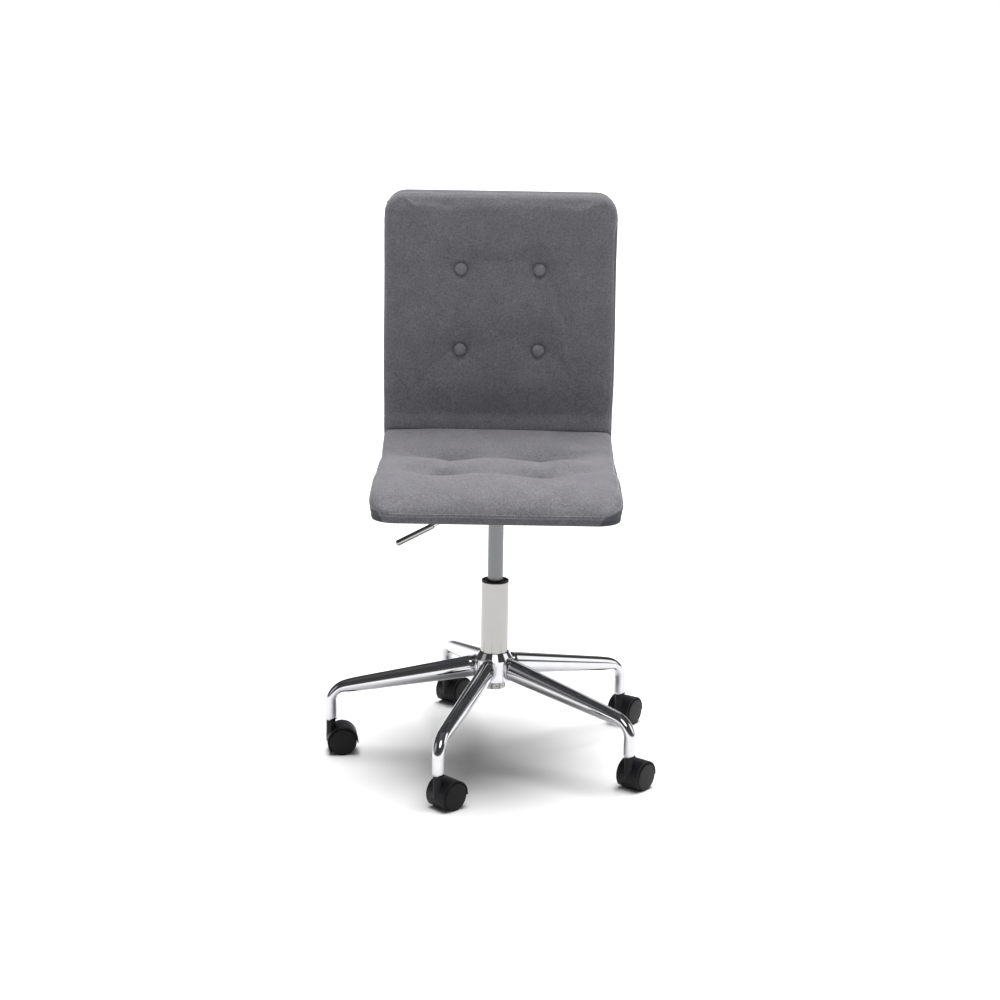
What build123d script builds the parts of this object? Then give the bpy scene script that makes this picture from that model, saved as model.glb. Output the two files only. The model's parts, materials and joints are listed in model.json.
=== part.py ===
from build123d import *

import os
from math import asin, cos, degrees, radians, sin, sqrt, tan

# Armless swivel desk chair: a padded L-shaped shell on a gas spring, standing on a
# five-leg chromed tube base with twin-wheel casters. Millimetres, +Z up, the front
# faces -Y. The origin is on the floor, on the axis of the column.

os.makedirs("parts", exist_ok=True)

# ---- driving dimensions ----

RUNNING = 0.05  # radial clearance of every shaft in its hole

# base
LEG_COUNT = 5
FIRST_LEG = 180.0  # direction of leg 1, degrees counter-clockwise from +X
HUB_RADIUS = 35.0
HUB_BOTTOM = 147.0
HUB_SHOULDER = 187.0
HUB_TOP = 199.5
HUB_LIP_RADIUS = 26.8
STEM_CIRCLE = 298.0  # radius of the circle through the caster stems
LEG_FOOT = 64.0  # height of the open lower end of a leg
LEG_WALL = 1.6
LEG_SLOPE = 10.4  # fall of the straight part, degrees
LEG_ROOT_HEIGHT = 169.6  # centre line height at LEG_ROOT_RADIUS
LEG_ROOT_RADIUS = 42.0
LEG_ROOT_SIZE = (40.0, 30.0)  # height and width of the oval at the root
LEG_END_SIZE = (26.0, 23.6)  # the same where the bend starts
LEG_BEND_SIZE = (18.4, 22.4)  # the tube is pressed flat along the bend
LEG_BEND_RADIUS = 32.0
STEM_TUBE_RADIUS = 11.0  # round lower end of a leg
LEG_FOOT_LENGTH = 24.0  # length of that round end
LEG_START = -0.06  # where the oval starts, as a share of the straight part
LEG_STRAIGHT = 0.92  # where the pinch starts, as a share of the straight part

# column and gas spring
TUBE_RADIUS = 25.0
TUBE_WALL = 2.0
TUBE_BOTTOM = 132.0
TUBE_TOP = 331.0
TAPER_TOP = 203.0
TAPER_BOTTOM_RADIUS = 21.5
BUSH_TOP = 334.0
BUSH_LENGTH = 92.0
CYLINDER_RADIUS = 14.0
CYLINDER_WALL = 2.0
CYLINDER_BOTTOM = 255.0
CONE_BOTTOM = 446.0
CONE_TOP = 468.0
CONE_TOP_RADIUS = 13.3
ROD_RADIUS = 5.0
PISTON_BOTTOM = 275.0
VALVE_PIN_RADIUS = 3.0
VALVE_PIN_TOP = 473.5

# casters
WHEEL_RADIUS = 25.0
WHEEL_WIDTH = 17.0
WHEEL_INNER_FACE = 7.5  # from the caster's middle plane
TRAIL = 21.0  # from the stem axis to the axle
HOOD_RADIUS = 28.5
HOOD_BORE_RADIUS = 26.2
HOOD_HALF_WIDTH = 22.4
WEB_HALF_WIDTH = 6.5
NECK_RADIUS = 8.5
NECK_TOP = 63.4
STEM_RADIUS = 5.5
STEM_BOTTOM = 38.1
STEM_TOP = 84.0
AXLE_RADIUS = 3.0
AXLE_HALF_LENGTH = 22.0
CASTER_TRAILS = (8.0, 43.0, 50.0, 55.0, 50.0)  # direction that each caster trails in

# seat shell: layers are measured from the outer face of the cover
SHELL_BOTTOM = 490.0
SHELL_FRONT = -226.0
SHELL_CORNER_RADIUS = 64.0
SHELL_REAR = 262.0
BACK_BOW_RADIUS = 3180.0  # the back curves gently away from the sitter
BACK_TOP_ANGLE = 8.14  # angle of the bow at the top edge, degrees
SHELL_HALF_WIDTH = 214.0
COVER_THICKNESS = 2.0
SEAM_DEPTH = 17.0  # the cover wraps the board up to here, where the cushions start
BACK_THICKNESS = 49.0
PLAN_CORNER = 42.0
CUSHION_HALF_WIDTH = 216.0
CUSHION_GAP = 0.4

# buttons
BUTTON_RADIUS = 11.0
TIE_RADIUS = 1.0
SEAT_BUTTON_SPOTS = ((-84.0, 89.0), (75.0, 89.0), (-93.0, -52.0), (77.0, -56.0))
SEAT_BUTTON_FLOOR = 523.0
BACK_BUTTON_HEIGHTS = (717.0, 867.0)
BACK_BUTTON_X = 73.0
BACK_BUTTON_DEPTH = 9.0

# mechanism under the seat
PLATE_THICKNESS = 3.0
PLATE_LENGTH = 190.0
PLATE_CORNER = 18.0
BOLT_PITCH = 150.0
BOLT_RADIUS = 3.0
HOUSING_BOTTOM = 446.5
HOUSING_LEFT = -62.0
HOUSING_RIGHT = 32.0
HOUSING_HALF_WIDTH = 24.0
SHEET = 3.0
FOLD_RADIUS = 5.0
PIVOT_X = -50.0
PIVOT_Z = 465.8
LEVER_RADIUS = 3.5
LEVER_SLOPE = 27.9  # fall of the lever towards the handle, degrees
HANDLE_START = 62.0  # distance left of the pivot
HANDLE_END = 130.0
HANDLE_RADIUS = 5.5
HANDLE_CAP = 12.0  # solid end of the handle, beyond the rod
LEVER_BEND_RADIUS = 14.0


# ---- helpers ----


def save(builder, label):
    """Name a finished piece and write it."""
    builder.part.label = label
    export_step(builder.part, f"parts/{label}.step")


def upright_plane(angle, x=0.0, y=0.0):
    """Upright plane through (x, y): its x runs out at the angle, its y runs up."""
    a = radians(angle)
    return Plane(origin=(x, y, 0), x_dir=(cos(a), sin(a), 0), z_dir=(sin(a), -cos(a), 0))


def revolved(*points, mode=Mode.ADD):
    """Turn a closed outline of (radius, height) points about the Z axis."""
    with BuildSketch(Plane.XZ) as outline:
        with BuildLine():
            Polyline(*points, close=True)
        make_face()
    revolve(outline.sketch, axis=Axis.Z, mode=mode)


def ring(outer, inner, bottom, top, mode=Mode.ADD):
    """Plain ring about the Z axis."""
    revolved((inner, bottom), (outer, bottom), (outer, top), (inner, top), mode=mode)


def leg_angle(index):
    return FIRST_LEG + index * 360.0 / LEG_COUNT


def stem_spot(index):
    """Centre of a caster stem in plan."""
    a = radians(leg_angle(index))
    return STEM_CIRCLE * cos(a), STEM_CIRCLE * sin(a)


def at_stems():
    """Locations of all caster stems."""
    return PolarLocations(STEM_CIRCLE, LEG_COUNT, start_angle=FIRST_LEG)


def tube_radius(height):
    """Outer radius of the column tube, which tapers where it sits in the hub."""
    if height >= TAPER_TOP:
        return TUBE_RADIUS
    share = (TAPER_TOP - height) / (TAPER_TOP - TUBE_BOTTOM)
    return TUBE_RADIUS - share * (TUBE_RADIUS - TAPER_BOTTOM_RADIUS)


# ---- base: hub, legs, stem sleeves ----

hub_outline = (
    (0, HUB_BOTTOM),
    (HUB_RADIUS - 1.5, HUB_BOTTOM),
    (HUB_RADIUS, HUB_BOTTOM + 1.5),
    (HUB_RADIUS, HUB_SHOULDER),
    (HUB_LIP_RADIUS, HUB_TOP),
    (0, HUB_TOP),
)
COUNTERSINK_BOTTOM = HUB_TOP - 7.5

with BuildPart() as base_hub:
    revolved(*hub_outline)
    # tapered bore for the column, opened out at the top
    revolved(
        (0, HUB_BOTTOM),
        (tube_radius(HUB_BOTTOM) + RUNNING, HUB_BOTTOM),
        (tube_radius(COUNTERSINK_BOTTOM) + RUNNING, COUNTERSINK_BOTTOM),
        (HUB_LIP_RADIUS - 0.4, HUB_TOP),
        (0, HUB_TOP),
        mode=Mode.SUBTRACT,
    )
save(base_hub, "base_hub")


def oval_station(frame, radius, height, slope, size, wall):
    """Oval cross-section of a leg, square to its centre line."""
    a = radians(slope)
    out = frame.x_dir
    up = Vector(0, 0, 1)
    station = Plane(
        origin=out * radius + up * height,
        x_dir=up * cos(a) - out * sin(a),
        z_dir=out * cos(a) + up * sin(a),
    )
    with BuildSketch(station) as oval:
        Ellipse(size[0] / 2 - wall, size[1] / 2 - wall)
    return oval.sketch


def between(first, last, share):
    """Oval size part of the way from the first to the last."""
    return tuple(a + (b - a) * share for a, b in zip(first, last))


def leg_body(angle, wall, mode):
    """Leg solid drawn in by the wall: the straight taper, the pinched bend and the foot."""
    frame = upright_plane(angle)
    turn = 90.0 - LEG_SLOPE
    fall = tan(radians(LEG_SLOPE))
    centre = STEM_CIRCLE - LEG_BEND_RADIUS
    bend_start = centre + LEG_BEND_RADIUS * cos(radians(turn))
    run = bend_start - LEG_ROOT_RADIUS
    centre_height = LEG_ROOT_HEIGHT - run * fall - LEG_BEND_RADIUS * sin(radians(turn))
    straight = []
    for share in (LEG_START, LEG_STRAIGHT):
        height = LEG_ROOT_HEIGHT - share * run * fall
        size = between(LEG_ROOT_SIZE, LEG_END_SIZE, share)
        radius = LEG_ROOT_RADIUS + share * run
        straight.append(oval_station(frame, radius, height, -LEG_SLOPE, size, wall))
    bend = [straight[-1]]
    for share, pinch in ((0.12, 0.55), (0.38, 1.0), (0.68, 1.0), (1.0, 1.0)):
        a = radians(turn * (1 - share))
        radius = centre + LEG_BEND_RADIUS * cos(a)
        height = centre_height + LEG_BEND_RADIUS * sin(a)
        size = between(LEG_END_SIZE, LEG_BEND_SIZE, pinch)
        bend.append(oval_station(frame, radius, height, -LEG_SLOPE - turn * share, size, wall))
    foot_size = (2 * STEM_TUBE_RADIUS, 2 * STEM_TUBE_RADIUS)
    foot = []
    for height in (LEG_FOOT + LEG_FOOT_LENGTH, LEG_FOOT):
        foot.append(oval_station(frame, STEM_CIRCLE, height, -90, foot_size, wall))
    loft(straight, ruled=True, mode=mode)
    loft([*bend, foot[0]], mode=mode)
    loft(foot, ruled=True, mode=mode)


for index in range(LEG_COUNT):
    with BuildPart() as leg:
        leg_body(leg_angle(index), 0.0, Mode.ADD)
        leg_body(leg_angle(index), LEG_WALL, Mode.SUBTRACT)
        # the root is cut to the hub that it is welded to
        revolved(*hub_outline, mode=Mode.SUBTRACT)
    save(leg, f"leg_{index + 1}")

SLEEVE_RADIUS = STEM_TUBE_RADIUS - LEG_WALL - 0.1
SLEEVE_LENGTH = 16.0
with BuildPart() as stem_sleeves:
    with BuildSketch(Plane.XY.offset(LEG_FOOT)):
        with at_stems():
            Circle(SLEEVE_RADIUS)
            Circle(STEM_RADIUS + RUNNING, mode=Mode.SUBTRACT)
    extrude(amount=SLEEVE_LENGTH)
save(stem_sleeves, "stem_sleeves")

# ---- caster stems, with a spring ring that grips the sleeve ----

GROOVE_RADIUS = 4.7
SNAP_GROOVE = (44.0, 46.4)  # the hood's rib snaps in here
GRIP_GROOVE = (72.0, 76.0)

with BuildPart() as caster_stems:
    with BuildSketch(Plane.XY.offset(STEM_BOTTOM)):
        with at_stems():
            Circle(STEM_RADIUS)
    extrude(amount=STEM_TOP - STEM_BOTTOM)
    for low, high in (SNAP_GROOVE, GRIP_GROOVE):
        with BuildSketch(Plane.XY.offset(low)):
            with at_stems():
                Circle(STEM_RADIUS + 1)
                Circle(GROOVE_RADIUS, mode=Mode.SUBTRACT)
        extrude(amount=high - low, mode=Mode.SUBTRACT)
    chamfer(caster_stems.edges().group_by(Axis.Z)[-1], 1.0)
save(caster_stems, "caster_stems")

with BuildPart() as stem_grip_rings:
    with BuildSketch(Plane.XY.offset(GRIP_GROOVE[0] + 0.3)):
        with at_stems():
            Circle(STEM_RADIUS)
            Circle(GROOVE_RADIUS + RUNNING, mode=Mode.SUBTRACT)
            with Locations((0, -STEM_RADIUS)):
                Rectangle(2.0, 4.0, mode=Mode.SUBTRACT)
    extrude(amount=GRIP_GROOVE[1] - GRIP_GROOVE[0] - 0.6)
save(stem_grip_rings, "stem_grip_rings")

# ---- column: tube, end plate, guide bush, thrust bearing ----

END_PLATE = (136.0, 140.0)
LOWER_WASHER = (140.0, 142.0)
BALL_RADIUS = 2.0
BALL_CIRCLE = 10.0
BALL_COUNT = 10
UPPER_WASHER = (146.05, 148.0)
WASHER_RADII = (14.0, 6.0)
BUMPER_TOP = 154.0
DENT_COUNT = 12
DENT_RADIUS = 1.3
DENT_OFFSET = 0.4  # the dent tool's middle lies this far outside the tube
DENT_HALF_WIDTH = 1.6


def tube_bore(height):
    return tube_radius(height) - TUBE_WALL


with BuildPart() as column_tube:
    revolved(
        (tube_bore(TUBE_BOTTOM), TUBE_BOTTOM),
        (tube_radius(TUBE_BOTTOM), TUBE_BOTTOM),
        (TUBE_RADIUS, TAPER_TOP),
        (TUBE_RADIUS, TUBE_TOP),
        (tube_bore(TUBE_TOP), TUBE_TOP),
        (tube_bore(TAPER_TOP), TAPER_TOP),
    )
    # ring of staking dents that holds the end plate in
    for dent in range(DENT_COUNT):
        with BuildSketch(upright_plane((dent + 0.5) * 360.0 / DENT_COUNT)):
            with Locations((tube_radius(END_PLATE[1]) + DENT_OFFSET, sum(END_PLATE) / 2)):
                Circle(DENT_RADIUS)
        extrude(amount=DENT_HALF_WIDTH, both=True, mode=Mode.SUBTRACT)
save(column_tube, "column_tube")

with BuildPart() as column_end_plate:
    revolved(
        (ROD_RADIUS + RUNNING, END_PLATE[0]),
        (tube_bore(END_PLATE[0]) - RUNNING, END_PLATE[0]),
        (tube_bore(END_PLATE[1]) - RUNNING, END_PLATE[1]),
        (ROD_RADIUS + RUNNING, END_PLATE[1]),
    )
save(column_end_plate, "column_end_plate")

BUSH_BORE = CYLINDER_RADIUS + RUNNING
BUSH_CORE_RADIUS = 16.5
BUSH_SKIN_RADIUS = 21.0
BUSH_FLOOR = 3.0  # solid part below the flange
BUSH_RIBS = 6
RIB = 1.6  # thickness of every moulded rib
with BuildPart() as guide_bush:
    revolved(
        (BUSH_BORE, BUSH_TOP - BUSH_LENGTH),
        (TUBE_RADIUS - TUBE_WALL - RUNNING, BUSH_TOP - BUSH_LENGTH),
        (TUBE_RADIUS - TUBE_WALL - RUNNING, TUBE_TOP),
        (TUBE_RADIUS - 0.2, TUBE_TOP),
        (TUBE_RADIUS - 0.6, BUSH_TOP),
        (TUBE_RADIUS - 3.0, BUSH_TOP),
        (BUSH_CORE_RADIUS, BUSH_TOP - 2.5),
        (BUSH_BORE, BUSH_TOP - 2.5),
    )
    # hollow between the core and the skin, with six ribs across it
    hollow_top = TUBE_TOP - BUSH_FLOOR
    ring(BUSH_SKIN_RADIUS, BUSH_CORE_RADIUS, BUSH_TOP - BUSH_LENGTH, hollow_top, Mode.SUBTRACT)
    with BuildSketch(Plane.XY.offset(BUSH_TOP - BUSH_LENGTH)):
        with PolarLocations((BUSH_SKIN_RADIUS + BUSH_CORE_RADIUS) / 2, BUSH_RIBS):
            Rectangle(BUSH_SKIN_RADIUS - BUSH_CORE_RADIUS + 1, RIB)
    extrude(amount=hollow_top - BUSH_TOP + BUSH_LENGTH)
save(guide_bush, "guide_bush")

with BuildPart() as bearing_lower_washer:
    ring(*WASHER_RADII, *LOWER_WASHER)
save(bearing_lower_washer, "bearing_lower_washer")

ball_height = LOWER_WASHER[1] + BALL_RADIUS
with BuildPart() as bearing_balls:
    with Locations((0, 0, ball_height)):
        with PolarLocations(BALL_CIRCLE, BALL_COUNT):
            Sphere(BALL_RADIUS)
save(bearing_balls, "bearing_balls")

with BuildPart() as bearing_cage:
    ring(WASHER_RADII[0] - 0.5, WASHER_RADII[1] + 0.5, ball_height - 0.6, ball_height + 0.6)
    with BuildSketch(Plane.XY.offset(ball_height)):
        with PolarLocations(BALL_CIRCLE, BALL_COUNT):
            Circle(BALL_RADIUS + 0.15)
    extrude(amount=1, both=True, mode=Mode.SUBTRACT)
save(bearing_cage, "bearing_cage")

# ---- gas spring: rod and piston turn with the seat but stay at one height ----

CLIP = (133.6, 135.6)
ROD_BOTTOM = 132.4
CLIP_GROOVE_RADIUS = 3.8
PISTON_LENGTH = 16.0
PISTON_TOP = PISTON_BOTTOM + PISTON_LENGTH

with BuildPart() as piston_rod:
    revolved(
        (0, ROD_BOTTOM),
        (ROD_RADIUS, ROD_BOTTOM),
        (ROD_RADIUS, CLIP[0] - 0.1),
        (CLIP_GROOVE_RADIUS, CLIP[0] - 0.1),
        (CLIP_GROOVE_RADIUS, CLIP[1] + 0.1),
        (ROD_RADIUS, CLIP[1] + 0.1),
        (ROD_RADIUS, PISTON_BOTTOM - 2),
        (ROD_RADIUS - 1, PISTON_BOTTOM),
        (ROD_RADIUS - 1, PISTON_TOP + 2),
        (0, PISTON_TOP + 2),
    )
save(piston_rod, "piston_rod")

PISTON_RADIUS = CYLINDER_RADIUS - CYLINDER_WALL - RUNNING
with BuildPart() as piston:
    ring(PISTON_RADIUS, ROD_RADIUS - 1 + RUNNING, PISTON_BOTTOM, PISTON_TOP)
    ring(PISTON_RADIUS + 1, PISTON_RADIUS - 1.5, PISTON_BOTTOM + 6, PISTON_BOTTOM + 10, Mode.SUBTRACT)
save(piston, "piston")

with BuildPart() as rod_clip:
    ring(8.0, CLIP_GROOVE_RADIUS + RUNNING, *CLIP)
    with BuildSketch(Plane.XY.offset(CLIP[0])):
        with Locations((0, -6)):
            Rectangle(5.0, 12.0)
    extrude(amount=CLIP[1] - CLIP[0], mode=Mode.SUBTRACT)
save(rod_clip, "rod_clip")

with BuildPart() as bearing_upper_washer:
    ring(WASHER_RADII[0], ROD_RADIUS + RUNNING, *UPPER_WASHER)
save(bearing_upper_washer, "bearing_upper_washer")

with BuildPart() as bump_stop:
    ring(13.0, ROD_RADIUS + RUNNING, UPPER_WASHER[1], BUMPER_TOP)
    fillet(bump_stop.edges().group_by(Axis.Z)[-1].sort_by(SortBy.LENGTH)[-1], 1.5)
save(bump_stop, "bump_stop")

# ---- gas cylinder, which slides in the bush and carries the seat on its cone ----

CAVITY_TOP = 452.0
GLAND_HEIGHT = 13.0
VALVE_BODY_BOTTOM = 436.0
CAVITY_RADIUS = CYLINDER_RADIUS - CYLINDER_WALL

with BuildPart() as gas_cylinder:
    revolved(
        (CAVITY_RADIUS, CYLINDER_BOTTOM),
        (CYLINDER_RADIUS - 0.6, CYLINDER_BOTTOM),
        (CYLINDER_RADIUS, CYLINDER_BOTTOM + 0.6),
        (CYLINDER_RADIUS, CONE_BOTTOM),
        (CONE_TOP_RADIUS, CONE_TOP),
        (VALVE_PIN_RADIUS + RUNNING, CONE_TOP),
        (VALVE_PIN_RADIUS + RUNNING, CAVITY_TOP),
        (CAVITY_RADIUS, CAVITY_TOP),
    )
save(gas_cylinder, "gas_cylinder")

with BuildPart() as cylinder_gland:
    ring(CAVITY_RADIUS - RUNNING, ROD_RADIUS + RUNNING, CYLINDER_BOTTOM, CYLINDER_BOTTOM + GLAND_HEIGHT)
save(cylinder_gland, "cylinder_gland")

with BuildPart() as valve_body:
    revolved(
        (0, VALVE_BODY_BOTTOM),
        (CAVITY_RADIUS - RUNNING, VALVE_BODY_BOTTOM),
        (CAVITY_RADIUS - RUNNING, CAVITY_TOP),
        (VALVE_PIN_RADIUS + RUNNING, CAVITY_TOP),
        (VALVE_PIN_RADIUS + RUNNING, VALVE_BODY_BOTTOM + 8),
        (0, VALVE_BODY_BOTTOM + 8),
    )
save(valve_body, "valve_body")

with BuildPart() as valve_pin:
    revolved(
        (0, CAVITY_TOP - 3),
        (VALVE_PIN_RADIUS, CAVITY_TOP - 3),
        (VALVE_PIN_RADIUS, VALVE_PIN_TOP - 1),
        (VALVE_PIN_RADIUS - 1, VALVE_PIN_TOP),
        (0, VALVE_PIN_TOP),
    )
save(valve_pin, "valve_pin")

# ---- mechanism under the seat ----

plate_bottom = SHELL_BOTTOM - PLATE_THICKNESS
with BuildPart() as seat_plate:
    with BuildSketch(Plane.XY.offset(plate_bottom)):
        RectangleRounded(PLATE_LENGTH, PLATE_LENGTH, PLATE_CORNER)
        with GridLocations(BOLT_PITCH, BOLT_PITCH, 2, 2):
            Circle(BOLT_RADIUS + 0.3, mode=Mode.SUBTRACT)
    extrude(amount=PLATE_THICKNESS)
save(seat_plate, "seat_plate")

SOCKET_RADIUS = 19.0
housing_centre = (HOUSING_LEFT + HOUSING_RIGHT) / 2
housing_length = HOUSING_RIGHT - HOUSING_LEFT
with BuildPart() as mechanism_housing:
    with BuildSketch(Plane.XY.offset(HOUSING_BOTTOM)):
        with Locations((housing_centre, 0)):
            Rectangle(housing_length, 2 * HOUSING_HALF_WIDTH)
    extrude(amount=plate_bottom - HOUSING_BOTTOM)
    fillet(mechanism_housing.edges().filter_by(Axis.X).group_by(Axis.Z)[0], FOLD_RADIUS)
    # folded sheet: open at the top and at the lever's end
    with BuildSketch(Plane.XY.offset(HOUSING_BOTTOM + SHEET)):
        with Locations((housing_centre - SHEET, 0)):
            Rectangle(housing_length, 2 * (HOUSING_HALF_WIDTH - SHEET))
    extrude(amount=plate_bottom - HOUSING_BOTTOM - SHEET, mode=Mode.SUBTRACT)
    # tapered socket for the gas cylinder
    ring(SOCKET_RADIUS, 0, HOUSING_BOTTOM, CONE_TOP)
    revolved(
        (0, HOUSING_BOTTOM - 1),
        (CYLINDER_RADIUS + RUNNING, HOUSING_BOTTOM - 1),
        (CYLINDER_RADIUS + RUNNING, HOUSING_BOTTOM),
        (CONE_TOP_RADIUS + RUNNING, CONE_TOP),
        (0, CONE_TOP),
        mode=Mode.SUBTRACT,
    )
    # holes for the lever's pivot pin
    with BuildSketch(Plane.XZ):
        with Locations((PIVOT_X, PIVOT_Z)):
            Circle(AXLE_RADIUS + 0.02)
    extrude(amount=HOUSING_HALF_WIDTH + 1, both=True, mode=Mode.SUBTRACT)
save(mechanism_housing, "mechanism_housing")

PIN_HALF_LENGTH = HOUSING_HALF_WIDTH + 2.5
with BuildPart() as lever_pivot_pin:
    with BuildSketch(Plane.XZ):
        with Locations((PIVOT_X, PIVOT_Z)):
            Circle(AXLE_RADIUS)
    extrude(amount=PIN_HALF_LENGTH, both=True)
    for side in (-1, 1):
        with BuildSketch(Plane.XZ.offset(side * HOUSING_HALF_WIDTH)):
            with Locations((PIVOT_X, PIVOT_Z)):
                Circle(AXLE_RADIUS + 2)
        extrude(amount=side * 1.5)
save(lever_pivot_pin, "lever_pivot_pin")

BOLT_HEAD_HEIGHT = 3.5
BOLT_HEAD_RADIUS = 6.0
HEX_SOCKET_RADIUS = 2.6
HEAD_FLOOR = 1.0  # under the hexagon socket
board_bottom = SHELL_BOTTOM + COVER_THICKNESS
seam_height = SHELL_BOTTOM + SEAM_DEPTH
with BuildPart() as seat_bolts:
    with BuildSketch(Plane.XY.offset(plate_bottom - BOLT_HEAD_HEIGHT)):
        with GridLocations(BOLT_PITCH, BOLT_PITCH, 2, 2):
            Circle(BOLT_HEAD_RADIUS)
            RegularPolygon(HEX_SOCKET_RADIUS, 6, mode=Mode.SUBTRACT)
    extrude(amount=BOLT_HEAD_HEIGHT - HEAD_FLOOR)
    with BuildSketch(Plane.XY.offset(plate_bottom - HEAD_FLOOR)):
        with GridLocations(BOLT_PITCH, BOLT_PITCH, 2, 2):
            Circle(BOLT_HEAD_RADIUS)
    extrude(amount=HEAD_FLOOR)
    with BuildSketch(Plane.XY.offset(plate_bottom)):
        with GridLocations(BOLT_PITCH, BOLT_PITCH, 2, 2):
            Circle(BOLT_RADIUS)
    extrude(amount=seam_height - 2 - plate_bottom)
save(seat_bolts, "seat_bolts")

TEE_BARREL_RADIUS = 4.0
TEE_FLANGE_RADIUS = 9.0
TEE_FLANGE = 1.5
with BuildPart() as tee_nuts:
    with BuildSketch(Plane.XY.offset(board_bottom + 1)):
        with GridLocations(BOLT_PITCH, BOLT_PITCH, 2, 2):
            Circle(TEE_BARREL_RADIUS)
    extrude(amount=SEAM_DEPTH - COVER_THICKNESS - 1)
    with BuildSketch(Plane.XY.offset(seam_height - TEE_FLANGE)):
        with GridLocations(BOLT_PITCH, BOLT_PITCH, 2, 2):
            Circle(TEE_FLANGE_RADIUS)
    extrude(amount=TEE_FLANGE)
    with BuildSketch(Plane.XY.offset(board_bottom)):
        with GridLocations(BOLT_PITCH, BOLT_PITCH, 2, 2):
            Circle(BOLT_RADIUS + 0.02)
    extrude(amount=SEAM_DEPTH, mode=Mode.SUBTRACT)
save(tee_nuts, "tee_nuts")

# ---- release lever ----

lever_fall = tan(radians(LEVER_SLOPE))
BEND_X = -34.0
bend_z = PIVOT_Z + (BEND_X - PIVOT_X) * lever_fall
INNER_END = (8.0, VALVE_PIN_TOP + 0.35 + LEVER_RADIUS + 0.7)


def lever_point(distance):
    """Point on the lever's axis, a level distance left of the pivot."""
    return PIVOT_X - distance, PIVOT_Z - distance * lever_fall


def along_lever(distance):
    """Plane across the lever's axis, facing the handle's end."""
    x, z = lever_point(distance)
    a = radians(LEVER_SLOPE)
    return Plane(origin=(x, 0, z), x_dir=(0, 1, 0), z_dir=(-cos(a), 0, -sin(a)))


lever_cos = cos(radians(LEVER_SLOPE))
rod_tip = lever_point(HANDLE_END - HANDLE_CAP)
with BuildPart() as lever_rod:
    with BuildLine(Plane.XZ) as lever_path:
        FilletPolyline(INNER_END, (BEND_X, bend_z), rod_tip, radius=LEVER_BEND_RADIUS)
    with BuildSketch(Plane(origin=lever_path.line @ 0, z_dir=lever_path.line % 0)):
        Circle(LEVER_RADIUS)
    sweep()
    # boss that turns on the pivot pin
    with BuildSketch(Plane.XZ):
        with Locations((PIVOT_X, PIVOT_Z)):
            Circle(6.5)
    extrude(amount=HOUSING_HALF_WIDTH - SHEET - 0.5, both=True)
    with BuildSketch(Plane.XZ):
        with Locations((PIVOT_X, PIVOT_Z)):
            Circle(AXLE_RADIUS + RUNNING)
    extrude(amount=HOUSING_HALF_WIDTH, both=True, mode=Mode.SUBTRACT)
save(lever_rod, "lever_rod")

with BuildPart() as lever_handle:
    with BuildSketch(along_lever(HANDLE_START)):
        Circle(HANDLE_RADIUS)
    extrude(amount=(HANDLE_END - HANDLE_START) / lever_cos)
    fillet(lever_handle.edges().group_by(Axis.X)[0], HANDLE_RADIUS - 0.6)
    chamfer(lever_handle.edges().group_by(Axis.X)[-1], 1)
    with BuildSketch(along_lever(HANDLE_START)):
        Circle(LEVER_RADIUS + 0.02)
    extrude(amount=(HANDLE_END - HANDLE_CAP - HANDLE_START) / lever_cos + 0.1, mode=Mode.SUBTRACT)
save(lever_handle, "lever_handle")

# ---- seat shell: board, cover and cushions share one bent side profile ----

corner_y = SHELL_REAR - SHELL_CORNER_RADIUS
corner_z = SHELL_BOTTOM + SHELL_CORNER_RADIUS
bow_y = SHELL_REAR + BACK_BOW_RADIUS


def back_angle(depth, height):
    """Lean of the back at a height, on the layer at a depth."""
    return asin((height - corner_z) / (BACK_BOW_RADIUS + depth))


def back_point(depth, angle):
    """Point (y, z) on the back, on the layer at a depth."""
    radius = BACK_BOW_RADIUS + depth
    return bow_y - radius * cos(angle), corner_z + radius * sin(angle)


def is_plan_corner(edge):
    """True for the short edges at the front corners and at the top corners of the back."""
    middle = edge.center()
    at_end = middle.Y < SHELL_FRONT + 5 or middle.Z > 990
    return abs(middle.X) > PLATE_LENGTH and at_end and edge.length < SEAM_DEPTH + 1


def layer(near, far, half_width, inset, corner):
    """Bent layer of the shell from near to far, drawn in by the inset at both ends."""
    top = radians(BACK_TOP_ANGLE) - inset / BACK_BOW_RADIUS
    front = SHELL_FRONT + inset
    with BuildPart() as body:
        with BuildSketch(Plane.YZ):
            with BuildLine():
                Line((front, SHELL_BOTTOM + near), (corner_y, SHELL_BOTTOM + near))
                CenterArc((corner_y, corner_z), SHELL_CORNER_RADIUS - near, -90, 90)
                CenterArc((bow_y, corner_z), BACK_BOW_RADIUS + near, 180, -degrees(top))
                Line(back_point(near, top), back_point(far, top))
                CenterArc((bow_y, corner_z), BACK_BOW_RADIUS + far, 180, -degrees(top))
                CenterArc((corner_y, corner_z), SHELL_CORNER_RADIUS - far, -90, 90)
                Line((corner_y, SHELL_BOTTOM + far), (front, SHELL_BOTTOM + far))
                Line((front, SHELL_BOTTOM + far), (front, SHELL_BOTTOM + near))
            make_face()
        extrude(amount=half_width, both=True)
        fillet(body.edges().filter_by(is_plan_corner), corner)
    return body.part


board_blank = layer(
    COVER_THICKNESS,
    SEAM_DEPTH,
    SHELL_HALF_WIDTH - COVER_THICKNESS,
    COVER_THICKNESS,
    PLAN_CORNER - COVER_THICKNESS,
)
cover_blank = layer(0, SEAM_DEPTH, SHELL_HALF_WIDTH, 0, PLAN_CORNER)

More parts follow.
